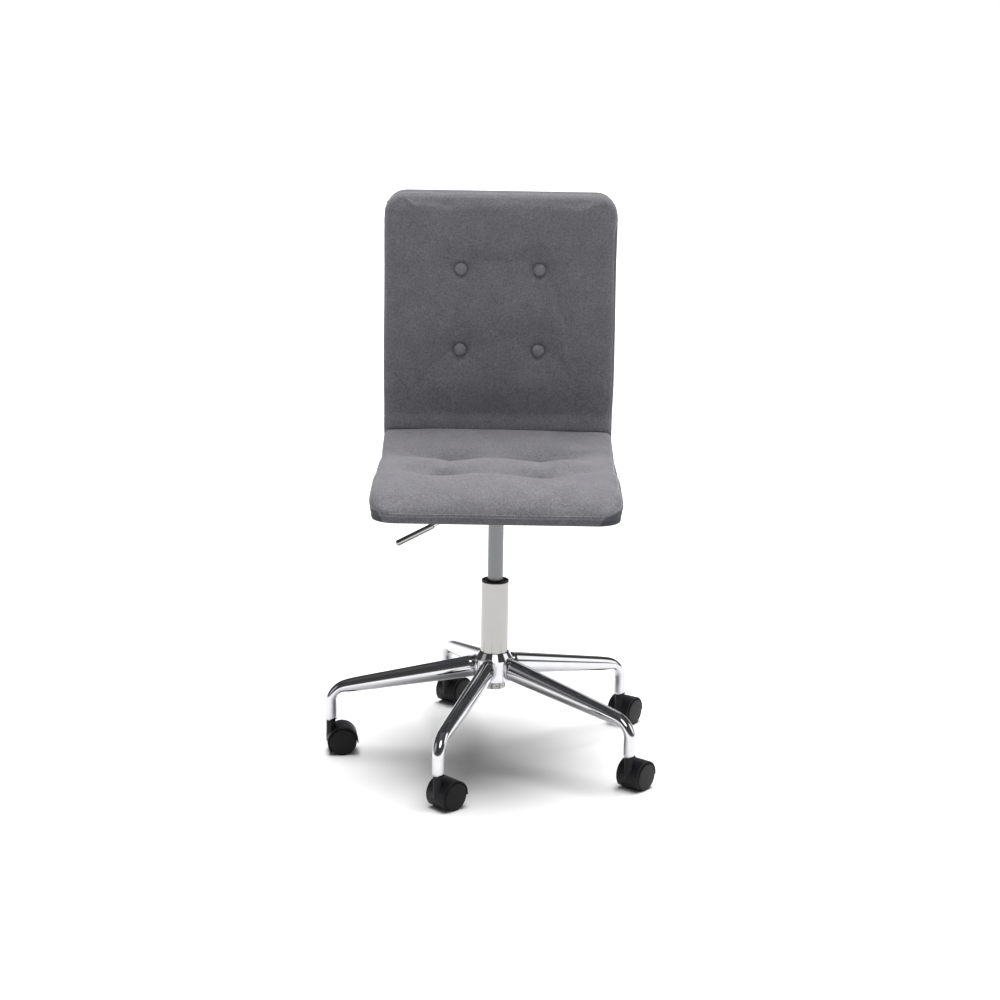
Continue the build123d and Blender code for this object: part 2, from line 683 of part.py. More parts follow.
with BuildPart() as shell_board:
    add(board_blank)
    with BuildSketch(Plane.XY.offset(SHELL_BOTTOM)):
        with GridLocations(BOLT_PITCH, BOLT_PITCH, 2, 2):
            Circle(TEE_BARREL_RADIUS + RUNNING)
    extrude(amount=SEAM_DEPTH, mode=Mode.SUBTRACT)
    with BuildSketch(Plane.XY.offset(seam_height - TEE_FLANGE)):
        with GridLocations(BOLT_PITCH, BOLT_PITCH, 2, 2):
            Circle(TEE_FLANGE_RADIUS + RUNNING)
    extrude(amount=TEE_FLANGE + 1, mode=Mode.SUBTRACT)
save(shell_board, "shell_board")

with BuildPart() as rear_cover:
    add(cover_blank)
    add(board_blank, mode=Mode.SUBTRACT)
    with BuildSketch(Plane.XY.offset(SHELL_BOTTOM - 1)):
        with GridLocations(BOLT_PITCH, BOLT_PITCH, 2, 2):
            Circle(TEE_BARREL_RADIUS + RUNNING)
    extrude(amount=COVER_THICKNESS + 1.5, mode=Mode.SUBTRACT)
save(rear_cover, "rear_cover")

# ---- cushions, which meet along a slanting line below the crease ----

CREASE = (205.0, 566.0)
CREASE_SHOULDER = (211.0, 581.0)  # the back rolls out above the crease
BACK_STRAIGHT_START = 600.0  # height where the roll meets the bow
seam_corner_radius = SHELL_CORNER_RADIUS - SEAM_DEPTH
SPLIT_ANGLE = 45.0  # where the cushions meet on the bent corner of the shell
back_split_angle = SPLIT_ANGLE - degrees(CUSHION_GAP / seam_corner_radius)
SEAT_NOSE = (-236.0, 525.0)
SEAT_FRONT_TOP = (-212.0, 547.0)
SEAT_MIDDLE = (-80.0, 546.0)
SEAT_LOW = (80.0, 541.0)
PLAN_LENGTH = 600.0
TIE_BORE = TIE_RADIUS + 0.5
DIMPLE_RADIUS = BUTTON_RADIUS + 0.5
DIMPLE_TAPER = -20  # degrees, opening outwards
DIMPLE_CUT = 40.0


def split_point(angle):
    """Point on the bent corner of the seam layer, the angle below level."""
    a = radians(angle)
    return corner_y + seam_corner_radius * cos(a), corner_z - seam_corner_radius * sin(a)


with BuildPart() as seat_cushion:
    with BuildSketch(Plane.YZ):
        with BuildLine():
            Line((SHELL_FRONT, seam_height), (corner_y, seam_height))
            CenterArc((corner_y, corner_z), seam_corner_radius, -90, 90 - SPLIT_ANGLE)
            Line(split_point(SPLIT_ANGLE), CREASE)
            Spline(CREASE, SEAT_LOW, SEAT_MIDDLE, SEAT_FRONT_TOP)
            ThreePointArc(SEAT_FRONT_TOP, SEAT_NOSE, (SHELL_FRONT, seam_height))
        make_face()
    extrude(amount=CUSHION_HALF_WIDTH, both=True)
    # round the front corners in plan
    with BuildSketch(Plane.XY.offset(SHELL_BOTTOM)):
        with Locations((0, SEAT_NOSE[0] + PLAN_LENGTH / 2)):
            RectangleRounded(2 * CUSHION_HALF_WIDTH, PLAN_LENGTH, PLAN_CORNER)
    extrude(amount=100, mode=Mode.INTERSECT)
    for x, y in SEAT_BUTTON_SPOTS:
        with BuildSketch(Plane.XY.offset(SEAT_BUTTON_FLOOR)):
            with Locations((x, y)):
                Circle(DIMPLE_RADIUS)
        extrude(amount=DIMPLE_CUT, taper=DIMPLE_TAPER, mode=Mode.SUBTRACT)
        with BuildSketch(Plane.XY.offset(seam_height - 1)):
            with Locations((x, y)):
                Circle(TIE_BORE)
        extrude(amount=SEAT_BUTTON_FLOOR - seam_height + 2, mode=Mode.SUBTRACT)
save(seat_cushion, "seat_cushion")

CUSHION_ROUND = 22.0
back_spots = [(side * BACK_BUTTON_X, height) for height in BACK_BUTTON_HEIGHTS for side in (-1, 1)]


def back_plane(x, height, depth):
    """Plane at a button of the back, facing the sitter."""
    lean = back_angle(BACK_THICKNESS, height)
    y, z = back_point(depth, lean)
    return Plane(origin=(x, y, z), x_dir=(1, 0, 0), z_dir=(0, -cos(lean), sin(lean)))


with BuildPart() as back_cushion:
    top = radians(BACK_TOP_ANGLE)
    start = back_angle(BACK_THICKNESS, BACK_STRAIGHT_START)
    crease = (CREASE[0] + CUSHION_GAP, CREASE[1] + CUSHION_GAP)
    low = split_point(back_split_angle)
    with BuildSketch(Plane.YZ):
        with BuildLine():
            Line(low, crease)
            ThreePointArc(crease, CREASE_SHOULDER, back_point(BACK_THICKNESS, start))
            CenterArc((bow_y, corner_z), BACK_BOW_RADIUS + BACK_THICKNESS,
                      180 - degrees(start), -degrees(top - start))
            Line(back_point(BACK_THICKNESS, top), back_point(SEAM_DEPTH, top))
            CenterArc((bow_y, corner_z), BACK_BOW_RADIUS + SEAM_DEPTH, 180, -degrees(top))
            CenterArc((corner_y, corner_z), seam_corner_radius, 0, -back_split_angle)
        make_face()
    extrude(amount=CUSHION_HALF_WIDTH, both=True)
    front_top = back_cushion.edges().filter_by(Axis.X).sort_by(Axis.Z)[-1]
    fillet(front_top, CUSHION_ROUND)
    # round the top corners in front view
    crown = back_cushion.part.bounding_box().max.Z
    with BuildSketch(Plane.XZ):
        with Locations((0, crown - PLAN_LENGTH / 2)):
            RectangleRounded(2 * CUSHION_HALF_WIDTH, PLAN_LENGTH, PLAN_CORNER)
    extrude(amount=-2 * SHELL_REAR, mode=Mode.INTERSECT)
    for x, height in back_spots:
        floor = BACK_THICKNESS - BACK_BUTTON_DEPTH
        with BuildSketch(back_plane(x, height, floor)):
            Circle(DIMPLE_RADIUS)
        extrude(amount=DIMPLE_CUT, taper=DIMPLE_TAPER, mode=Mode.SUBTRACT)
        with BuildSketch(back_plane(x, height, floor + 1)):
            Circle(TIE_BORE)
        extrude(amount=-DIMPLE_CUT, mode=Mode.SUBTRACT)
save(back_cushion, "back_cushion")

# ---- buttons and the ties that pull them in ----

BUTTON_EDGE = 3.0
BUTTON_DOME = 3.5
dome_radius = (BUTTON_RADIUS**2 + BUTTON_DOME**2) / (2 * BUTTON_DOME)


def button(plane):
    """Domed button lying on a plane."""
    with BuildSketch(plane) as disc:
        Circle(BUTTON_RADIUS)
    extrude(disc.sketch, amount=BUTTON_EDGE)
    upright = Plane(origin=plane.origin, x_dir=plane.x_dir, z_dir=-plane.y_dir)
    with BuildSketch(upright) as dome:
        with BuildLine():
            Line((0, BUTTON_EDGE - 1), (BUTTON_RADIUS, BUTTON_EDGE - 1))
            Line((BUTTON_RADIUS, BUTTON_EDGE - 1), (BUTTON_RADIUS, BUTTON_EDGE))
            middle = BUTTON_RADIUS / 2
            rise = sqrt(dome_radius**2 - middle**2) - dome_radius + BUTTON_DOME
            ThreePointArc((BUTTON_RADIUS, BUTTON_EDGE), (middle, BUTTON_EDGE + rise),
                          (0, BUTTON_EDGE + BUTTON_DOME))
            Line((0, BUTTON_EDGE + BUTTON_DOME), (0, BUTTON_EDGE - 1))
        make_face()
    revolve(dome.sketch, axis=Axis(plane.origin, plane.z_dir))


def tie(plane, length):
    """Twine from the back of a button down to the board."""
    with BuildSketch(plane) as end:
        Circle(TIE_RADIUS)
    extrude(end.sketch, amount=-length)


def seat_plane(x, y):
    return Plane(origin=(x, y, SEAT_BUTTON_FLOOR), x_dir=(1, 0, 0), z_dir=(0, 0, 1))


with BuildPart() as seat_buttons:
    for x, y in SEAT_BUTTON_SPOTS:
        button(seat_plane(x, y))
save(seat_buttons, "seat_buttons")

with BuildPart() as seat_button_ties:
    for x, y in SEAT_BUTTON_SPOTS:
        tie(seat_plane(x, y), SEAT_BUTTON_FLOOR - seam_height)
save(seat_button_ties, "seat_button_ties")

button_floor = BACK_THICKNESS - BACK_BUTTON_DEPTH
with BuildPart() as back_buttons:
    for x, height in back_spots:
        button(back_plane(x, height, button_floor))
save(back_buttons, "back_buttons")

with BuildPart() as back_button_ties:
    for x, height in back_spots:
        tie(back_plane(x, height, button_floor), button_floor - SEAM_DEPTH)
save(back_button_ties, "back_button_ties")

# ---- casters: a hood that swivels on its stem, an axle and two wheels ----

HOOD_START = -4.0  # the hood ends level with the axle on the trailing side
HOOD_END = 222.0  # and wraps below it on the stem side
WEB_RADIUS = 20.5
NECK_BOTTOM = 22.0


def axle_plane(index, side, distance):
    """Plane square to the axle, at a distance from the caster's middle on one side."""
    x, y = stem_spot(index)
    trail = radians(CASTER_TRAILS[index])
    out = Vector(sin(trail), -cos(trail), 0) * side
    along = Vector(cos(trail), sin(trail), 0)
    centre = Vector(x, y, WHEEL_RADIUS) + along * TRAIL + out * distance
    return Plane(origin=centre, x_dir=along, z_dir=out)


def hood_point(angle):
    return HOOD_RADIUS * cos(radians(angle)), HOOD_RADIUS * sin(radians(angle))


def caster_hood(index, label):
    x, y = stem_spot(index)
    with BuildPart() as hood:
        with BuildSketch(axle_plane(index, 1, 0)):
            with BuildLine():
                CenterArc((0, 0), HOOD_RADIUS, HOOD_START, HOOD_END - HOOD_START)
                Line(hood_point(HOOD_END), (0, 0))
                Line((0, 0), hood_point(HOOD_START))
            make_face()
        extrude(amount=HOOD_HALF_WIDTH, both=True)
        # neck that carries the stem
        with BuildSketch(Plane.XY.offset(NECK_BOTTOM)):
            with Locations((x, y)):
                Circle(NECK_RADIUS)
        extrude(amount=NECK_TOP - NECK_BOTTOM)
        fillet(hood.edges().group_by(Axis.Z)[-1], 1.0)
        # wheel pockets on both sides of the web
        for side in (-1, 1):
            with BuildSketch(axle_plane(index, side, WEB_HALF_WIDTH)):
                Circle(HOOD_BORE_RADIUS)
            extrude(amount=WHEEL_RADIUS, mode=Mode.SUBTRACT)
        with BuildSketch(axle_plane(index, 1, 0)):
            Circle(WEB_RADIUS)
        extrude(amount=WEB_HALF_WIDTH, both=True)
        # blind bore for the stem, with the rib that snaps into its groove
        bore_bottom = STEM_BOTTOM - 0.1
        for low, high, radius in (
            (bore_bottom, SNAP_GROOVE[0] + 0.3, STEM_RADIUS + RUNNING),
            (SNAP_GROOVE[0] + 0.3, SNAP_GROOVE[1] - 0.3, GROOVE_RADIUS + 0.2),
            (SNAP_GROOVE[1] - 0.3, NECK_TOP, STEM_RADIUS + RUNNING),
        ):
            with BuildSketch(Plane.XY.offset(low)):
                with Locations((x, y)):
                    Circle(radius)
            extrude(amount=high - low, mode=Mode.SUBTRACT)
        with BuildSketch(axle_plane(index, 1, 0)):
            Circle(AXLE_RADIUS + 0.02)
        extrude(amount=WEB_HALF_WIDTH + 1, both=True, mode=Mode.SUBTRACT)
    save(hood, label)


def caster_axle(index, label):
    with BuildPart() as axle:
        with BuildSketch(axle_plane(index, 1, 0)):
            Circle(AXLE_RADIUS)
        extrude(amount=AXLE_HALF_LENGTH, both=True)
    save(axle, label)


RIM_THICKNESS = 4.0
FACE_THICKNESS = 3.0
BOSS_RADIUS = 6.5
RIB_COUNT = 6
WHEEL_CHAMFER = 2.4
POCKET_FLOOR = 3.0  # the ribs stop short of the inner face


def caster_wheel(index, side, label):
    with BuildPart() as wheel:
        with BuildSketch(axle_plane(index, side, WHEEL_INNER_FACE)):
            Circle(WHEEL_RADIUS)
        extrude(amount=WHEEL_WIDTH)
        rims = wheel.edges().filter_by(GeomType.CIRCLE).sort_by(
            Axis(axle_plane(index, side, 0).origin, axle_plane(index, side, 0).z_dir)
        )
        chamfer(rims[-1], WHEEL_CHAMFER)
        fillet(rims[0], 1.0)
        # hollow behind the outer face
        depth = WHEEL_WIDTH - FACE_THICKNESS
        with BuildSketch(axle_plane(index, side, WHEEL_INNER_FACE)):
            Circle(WHEEL_RADIUS - RIM_THICKNESS)
        extrude(amount=depth, mode=Mode.SUBTRACT)
        with BuildSketch(axle_plane(index, side, WHEEL_INNER_FACE + 0.5)):
            Circle(BOSS_RADIUS)
        extrude(amount=depth)
        with BuildSketch(axle_plane(index, side, WHEEL_INNER_FACE + POCKET_FLOOR)):
            with PolarLocations((WHEEL_RADIUS + BOSS_RADIUS) / 2 - 1, RIB_COUNT):
                Rectangle(WHEEL_RADIUS - BOSS_RADIUS - 1, RIB)
        extrude(amount=depth - POCKET_FLOOR)
        # blind bore that turns on the axle
        with BuildSketch(axle_plane(index, side, WHEEL_INNER_FACE)):
            Circle(AXLE_RADIUS + RUNNING)
        extrude(amount=AXLE_HALF_LENGTH - WHEEL_INNER_FACE + 0.4, mode=Mode.SUBTRACT)
    save(wheel, label)


for index in range(LEG_COUNT):
    name = f"caster_{index + 1}"
    caster_hood(index, f"{name}_hood")
    caster_axle(index, f"{name}_axle")
    caster_wheel(index, -1, f"{name}_wheel_left")
    caster_wheel(index, 1, f"{name}_wheel_right")
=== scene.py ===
import json
import math

import bpy
import numpy as np
from mathutils import Matrix, Vector, noise
from mathutils.bvhtree import BVHTree


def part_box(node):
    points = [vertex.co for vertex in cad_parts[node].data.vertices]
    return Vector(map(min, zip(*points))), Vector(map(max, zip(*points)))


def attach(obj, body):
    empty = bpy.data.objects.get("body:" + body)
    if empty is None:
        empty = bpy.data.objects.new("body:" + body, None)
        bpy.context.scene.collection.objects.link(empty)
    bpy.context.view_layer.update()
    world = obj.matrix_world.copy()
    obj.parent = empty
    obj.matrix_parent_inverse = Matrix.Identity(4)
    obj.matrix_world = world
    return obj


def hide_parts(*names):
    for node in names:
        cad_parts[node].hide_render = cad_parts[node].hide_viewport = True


# Looks of an upholstered swivel chair around its CAD frame. Metres, +Z up, front faces -Y.

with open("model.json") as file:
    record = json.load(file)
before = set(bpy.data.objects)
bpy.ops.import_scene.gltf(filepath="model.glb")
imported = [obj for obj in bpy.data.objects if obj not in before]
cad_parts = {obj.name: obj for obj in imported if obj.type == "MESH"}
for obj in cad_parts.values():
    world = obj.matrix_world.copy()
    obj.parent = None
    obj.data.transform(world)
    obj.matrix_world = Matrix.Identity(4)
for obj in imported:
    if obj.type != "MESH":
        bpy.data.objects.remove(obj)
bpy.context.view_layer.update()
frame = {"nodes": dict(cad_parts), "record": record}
nodes = frame["nodes"]

# ---- sizes of the upholstery, in side view as (y, z) ----

CORNER = np.array((0.198, 0.554))  # centre of the bend between the seat and the back
CORNER_RADIUS = 0.064  # of the outer face of the cover at that bend
BOW_RADIUS = 3.18  # the back leans away along this arc
BOW_TOP = 8.14  # degrees of the arc up to the top edge
BOW_CENTRE = CORNER + (CORNER_RADIUS + BOW_RADIUS, 0)
SHELL_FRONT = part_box("rear_cover")[0].y
SHELL_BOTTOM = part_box("rear_cover")[0].z
COVER_HALF_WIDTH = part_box("rear_cover")[1].x
CUSHION_HALF_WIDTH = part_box("seat_cushion")[1].x
SEAT_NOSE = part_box("seat_cushion")[0].y
BACK_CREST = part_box("back_cushion")[1].z
SEAM_DEPTH = 0.017  # from the outer face of the cover to the cushions
OVERLAP = 0.003  # how far padding and cover reach past the seam between them
BACK_THICKNESS = 0.049
OUTLINE_CORNER = 0.042
EDGE_ROLL = 0.012  # radius that the cushions roll over at their sides
CREASE = (0.205, 0.566)
SPLIT = 45.0  # degrees below level where the two cushions meet on the bend
VOXEL = 0.005
COVER_VOXEL = 0.0045

SEAT_TUFTS = ((-0.084, 0.089), (0.075, 0.089), (-0.093, -0.052), (0.077, -0.056))  # (x, y)
BACK_BUTTON_X = 0.073
BACK_BUTTON_HEIGHTS = (0.717, 0.867)


# ---- small helpers for outlines ----


def arc(centre, radius, start, end, steps):
    """Points on an arc, angles in degrees."""
    angles = np.radians(np.linspace(start, end, steps))
    return [(centre[0] + radius * np.cos(a), centre[1] + radius * np.sin(a)) for a in angles]


def through(points, steps):
    """Smooth curve through a few points (Catmull-Rom), ends included."""
    p = np.array([points[0], *points, points[-1]], float)
    curve = []
    for i in range(1, len(p) - 2):
        for t in np.linspace(0, 1, steps, endpoint=False):
            a = 2 * p[i]
            b = p[i + 1] - p[i - 1]
            c = 2 * p[i - 1] - 5 * p[i] + 4 * p[i + 1] - p[i + 2]
            d = 3 * p[i] - p[i - 1] - 3 * p[i + 1] + p[i + 2]
            curve.append((a + b * t + c * t**2 + d * t**3) / 2)
    curve.append(p[-2])
    return [tuple(q) for q in curve]


def bow(depth, start, end, steps=40):
    """Stretch of the back's bow at a depth below the outer face, angles from its foot."""
    return arc(BOW_CENTRE, BOW_RADIUS + depth, 180 - start, 180 - end, steps)


def seat_face():
    """Face of the seat from the crease over the nose to the front seam."""
    front_seam = (SHELL_FRONT - 0.0065, SHELL_BOTTOM + SEAM_DEPTH - 0.004)
    top = [CREASE, (0.14, 0.550), (0.08, 0.545), (-0.095, 0.5525), (-0.145, 0.549)]
    nose = [(-0.190, 0.5395), (-0.220, 0.5255), (-0.2345, 0.512), front_seam]
    return through(top + nose, 9)


def seat_outline():
    bottom = SHELL_BOTTOM + SEAM_DEPTH - OVERLAP
    seat = [(SHELL_FRONT, bottom), (CORNER[0], bottom)]
    seat += arc(CORNER, CORNER_RADIUS - SEAM_DEPTH + OVERLAP, -90, -SPLIT, 12)[1:]
    return np.array(seat + seat_face())


def back_face():
    """Face of the back from the top edge down to the crease."""
    gap = 0.0006
    top_rear = np.array(bow(SEAM_DEPTH - OVERLAP, BOW_TOP, BOW_TOP, 1)[0])
    top_front = np.array(bow(BACK_THICKNESS, BOW_TOP, BOW_TOP, 1)[0])
    crown = (top_rear + top_front) / 2 + (0, 0.003)
    face = through([top_rear, crown, top_front + (0.006, -0.001), top_front - (0, 0.010)], 6)
    face += bow(BACK_THICKNESS, BOW_TOP - 0.3, 0.75)
    foot = bow(BACK_THICKNESS, 0.75, 0.75, 1)[0]
    return face + through([foot, (0.2085, 0.580), (CREASE[0] + gap, CREASE[1] + gap)], 6)[1:]


def back_outline():
    back = arc(CORNER, CORNER_RADIUS - SEAM_DEPTH + OVERLAP, -SPLIT + 0.5, 0, 12)
    back += bow(SEAM_DEPTH - OVERLAP, 0, BOW_TOP)[1:-1]
    return np.array(back + back_face())


def cover_outline():
    cover = [(SHELL_FRONT, SHELL_BOTTOM), (CORNER[0], SHELL_BOTTOM)]
    cover += arc(CORNER, CORNER_RADIUS, -90, 0, 16)[1:]
    cover += bow(0, 0, BOW_TOP)[1:]
    cover += bow(SEAM_DEPTH + OVERLAP, BOW_TOP, 0)
    cover += arc(CORNER, CORNER_RADIUS - SEAM_DEPTH - OVERLAP, 0, -90, 16)[1:]
    cover += [(SHELL_FRONT, SHELL_BOTTOM + SEAM_DEPTH + OVERLAP)]
    return np.array(cover)


def outline_distance(points, polygon):
    """Signed distance of 2-D points from a closed outline, negative inside."""
    nearest = np.full(len(points), 1e9)
    inside = np.zeros(len(points), bool)
    previous = polygon[-1]
    for corner in polygon:
        edge = corner - previous
        length = edge @ edge
        if length > 1e-12:
            offset = points - previous
            share = np.clip(offset @ edge / length, 0, 1)
            nearest = np.minimum(nearest, ((offset - share[:, None] * edge) ** 2).sum(1))
            crosses = (previous[1] > points[:, 1]) != (corner[1] > points[:, 1])
            rise = edge[1] if abs(edge[1]) > 1e-12 else 1e-12
            at = previous[0] + (points[:, 1] - previous[1]) * edge[0] / rise
            inside ^= crosses & (points[:, 0] < at)
        previous = corner
    return np.where(inside, -1.0, 1.0) * np.sqrt(nearest)


def end_distance(across, beyond, half_width, corner):
    """Signed distance from a strip with one rounded end; beyond is measured out of the end."""
    u = np.abs(across) - half_width + corner
    v = beyond + corner
    return np.hypot(np.maximum(u, 0), np.maximum(v, 0)) + np.minimum(np.maximum(u, v), 0) - corner


def rolled(a, b, radius):
    """Meet of two signed distances with a rounded edge."""
    u = a + radius
    v = b + radius
    return np.hypot(np.maximum(u, 0), np.maximum(v, 0)) + np.minimum(np.maximum(u, v), 0) - radius


def step_up(value, low, high):
    """Smooth step from 0 at low to 1 at high."""
    t = np.clip((value - low) / (high - low), 0, 1)
    return t * t * (3 - 2 * t)


# ---- meshes ----


def new_object(name, mesh):
    made = bpy.data.objects.new(name, mesh)
    bpy.context.scene.collection.objects.link(made)
    return made


def mesh_object(name, points, faces):
    mesh = bpy.data.meshes.new(name)
    mesh.from_pydata([tuple(p) for p in points], [], [tuple(f) for f in faces])
    mesh.update()
    return new_object(name, mesh)


def points_of(piece):
    flat = np.zeros(len(piece.data.vertices) * 3)
    piece.data.vertices.foreach_get("co", flat)
    return flat.reshape(-1, 3)


def set_points(piece, points):
    piece.data.vertices.foreach_set("co", np.asarray(points, float).ravel())
    piece.data.update()


def applied(piece):
    """Bake the piece's modifiers into its mesh."""
    mesh = bpy.data.meshes.new_from_object(piece.evaluated_get(bpy.context.evaluated_depsgraph_get()))
    piece.modifiers.clear()
    old = piece.data
    piece.data = mesh
    bpy.data.meshes.remove(old)
    return piece


def smooth_shaded(piece):
    for polygon in piece.data.polygons:
        polygon.use_smooth = True
    return piece


def voxel_block(name, outline, half_width, voxel):
    """Evenly meshed block: a side outline stretched across the chair."""
    count = len(outline)
    points = [(x, y, z) for x in (-half_width, half_width) for y, z in outline]
    faces = [(i, (i + 1) % count, (i + 1) % count + count, i + count) for i in range(count)]
    faces += [tuple(range(count))[::-1], tuple(range(count, 2 * count))]
    block = mesh_object(name, points, faces)
    remesh = block.modifiers.new("even", "REMESH")
    remesh.mode = "VOXEL"
    remesh.voxel_size = voxel
    return applied(block)


def settle_on(piece, distance, rounds=5):
    """Move every point onto the zero of a signed distance."""
    points = points_of(piece)
    step = 2e-4
    for _ in range(rounds):
        here = distance(points)
        slope = np.stack([distance(points + np.eye(3)[k] * step) - here for k in range(3)], 1) / step
        size = np.maximum((slope**2).sum(1, keepdims=True), 0.25)
        points = points - here[:, None] * slope / size
    set_points(piece, points)


def seat_distance(p):
    side = outline_distance(p[:, 1:], SEAT_SIDE)
    height = p[:, 2] - SHELL_BOTTOM - SEAM_DEPTH
    roll = 0.0015 + (EDGE_ROLL - 0.0015) * step_up(height, 0.004, 0.018)
    bulge = CUSHION_HALF_WIDTH - 0.0025 * step_up(p[:, 1], 0.0, 0.2) - 0.0015 * step_up(-height, -0.014, 0)
    ends = end_distance(p[:, 0], SEAT_NOSE - p[:, 1], bulge, OUTLINE_CORNER)
    return rolled(side, ends, roll)


def back_distance(p):
    side = outline_distance(p[:, 1:], BACK_SIDE)
    waist = 0.0015 * (1 - step_up(p[:, 2], 0.56, 0.66))
    ends = end_distance(p[:, 0], p[:, 2] - BACK_CREST, CUSHION_HALF_WIDTH - waist, OUTLINE_CORNER)
    off_board = line_distance(p[:, 1:], BACK_BASE)
    return rolled(side, ends, 0.0015 + (EDGE_ROLL - 0.0015) * step_up(off_board, 0.004, 0.018))


def cover_distance(p):
    side = outline_distance(p[:, 1:], COVER_SIDE)
    front = end_distance(p[:, 0], SHELL_FRONT - p[:, 1], COVER_HALF_WIDTH, OUTLINE_CORNER)
    top = end_distance(p[:, 0], p[:, 2] - COVER_TOP, COVER_HALF_WIDTH, OUTLINE_CORNER)
    edge = 0.0015 + 0.0035 * step_up(line_distance(p[:, 1:], SEAT_BASE + BACK_BASE), 0.002, 0.010)
    return rolled(side, np.maximum(front, top), edge)


# Where the padding lies on the board, seen from the side.
SEAT_BASE = [
    (SHELL_FRONT, SHELL_BOTTOM + SEAM_DEPTH),
    *arc(CORNER, CORNER_RADIUS - SEAM_DEPTH, -90, -SPLIT, 8),
]
BACK_BASE = [*arc(CORNER, CORNER_RADIUS - SEAM_DEPTH, -SPLIT, 0, 8), *bow(SEAM_DEPTH, 0, BOW_TOP, 12)]
SEAT_SIDE = seat_outline()
BACK_SIDE = back_outline()
COVER_SIDE = cover_outline()
COVER_TOP = COVER_SIDE[:, 1].max() - 0.001


def unevenness(points, size, height, seed):
    """Soft bumps of a size, the same in every run."""
    shift = Vector((seed, 0, 0))
    return np.array([noise.noise(Vector(p) / size + shift) for p in points]) * height


def pull_folds(across, along, count, reach, height, turn):
    """Small folds that run out from a button."""
    distance = np.hypot(across, along)
    angle = np.arctan2(along, across)
    fade = step_up(distance, 0.008, 0.016) * np.exp(-((distance / reach) ** 2))
    return height * fade * np.cos(count * angle + turn + 0.8 * np.sin(2 * angle + turn))


def seat_hollow(x, y):
    """How far the tufts pull the seat down."""
    depth = np.zeros(len(x))
    for row, deep in ((0.089, 0.0125), (-0.054, 0.0160)):
        depth += deep * np.exp(-(((y - row) / 0.028) ** 2)) * (1 - 0.75 * step_up(np.abs(x), 0.11, 0.21))
    for index, (tuft_x, tuft_y) in enumerate(SEAT_TUFTS):
        dx = x - tuft_x
        dy = y - tuft_y
        depth += 0.0120 * np.exp(-((dx / 0.046) ** 2) - (dy / 0.026) ** 2)
        depth += 0.0085 * np.exp(-((dx / 0.038) ** 2) - ((dy + 0.036) / 0.026) ** 2)
        depth += 0.004 * np.exp(-((dx**2 + dy**2) / 0.015**2))
        depth += pull_folds(dx, dy, 7, 0.030, 0.0008, index)
    return depth


def back_hollow(x, z):
    """How far the buttons pull the back in."""
    depth = np.zeros(len(x))
    for index, height in enumerate(BACK_BUTTON_HEIGHTS):
        for side in (-1, 1):
            dx = x - side * BACK_BUTTON_X
            dz = z - height
            depth += 0.0052 * np.exp(-((dx / 0.040) ** 2) - (dz / 0.036) ** 2)
            depth += 0.0062 * np.exp(-((dx**2 + dz**2) / 0.018**2) ** 2)
            fold = np.exp(-((dx / 0.007) ** 2)) * step_up(dz, 0.008, 0.02) * np.exp(-np.maximum(dz, 0) / 0.03)
            depth += 0.0016 * fold
            depth += pull_folds(dx, dz, 6, 0.034, 0.0007, 2 * index + side)
    return depth


def lean(z):
    """Direction that the back faces at a height, as (y, z) columns."""
    angle = np.arcsin(np.clip((z - CORNER[1]) / (BOW_RADIUS + BACK_THICKNESS), -1, 1))
    return np.stack([-np.cos(angle), np.sin(angle)], 1)


def normals_of(piece):
    flat = np.zeros(len(piece.data.vertices) * 3)
    piece.data.vertex_normals.foreach_get("vector", flat)
    return flat.reshape(-1, 3)


def make_seat_cushion():
    piece = voxel_block("seat_pad", SEAT_SIDE, CUSHION_HALF_WIDTH - 0.001, VOXEL)
    settle_on(piece, seat_distance)
    points = points_of(piece)
    facing = step_up(normals_of(piece)[:, 2], 0.2, 0.8)
    crown = 0.004 * (1 - (points[:, 0] / CUSHION_HALF_WIDTH) ** 2) * facing
    points[:, 2] += crown - seat_hollow(points[:, 0], points[:, 1]) * facing
    off_board = step_up(line_distance(points[:, 1:], SEAT_BASE), 0.002, 0.015)
    uneven = unevenness(points, 0.075, 0.0022, 3) * off_board
    points += normals_of(piece) * uneven[:, None]
    set_points(piece, points)
    return piece


def make_back_cushion():
    piece = voxel_block("back_pad", BACK_SIDE, CUSHION_HALF_WIDTH - 0.001, VOXEL)
    settle_on(piece, back_distance)
    points = points_of(piece)
    facing = step_up(-normals_of(piece)[:, 1], 0.3, 0.85)
    out = lean(points[:, 2])
    depth = back_hollow(points[:, 0], points[:, 2]) * facing
    points[:, 1:] -= out * depth[:, None]
    off_board = step_up(line_distance(points[:, 1:], BACK_BASE), 0.002, 0.015)
    uneven = unevenness(points, 0.09, 0.0012, 7) * off_board
    points += normals_of(piece) * uneven[:, None]
    set_points(piece, points)
    return piece


def refined(piece):
    """One level of subdivision, applied."""
    level = piece.modifiers.new("fine", "SUBSURF")
    level.levels = 1
    level.render_levels = 1
    return smooth_shaded(applied(piece))


# ---- materials ----


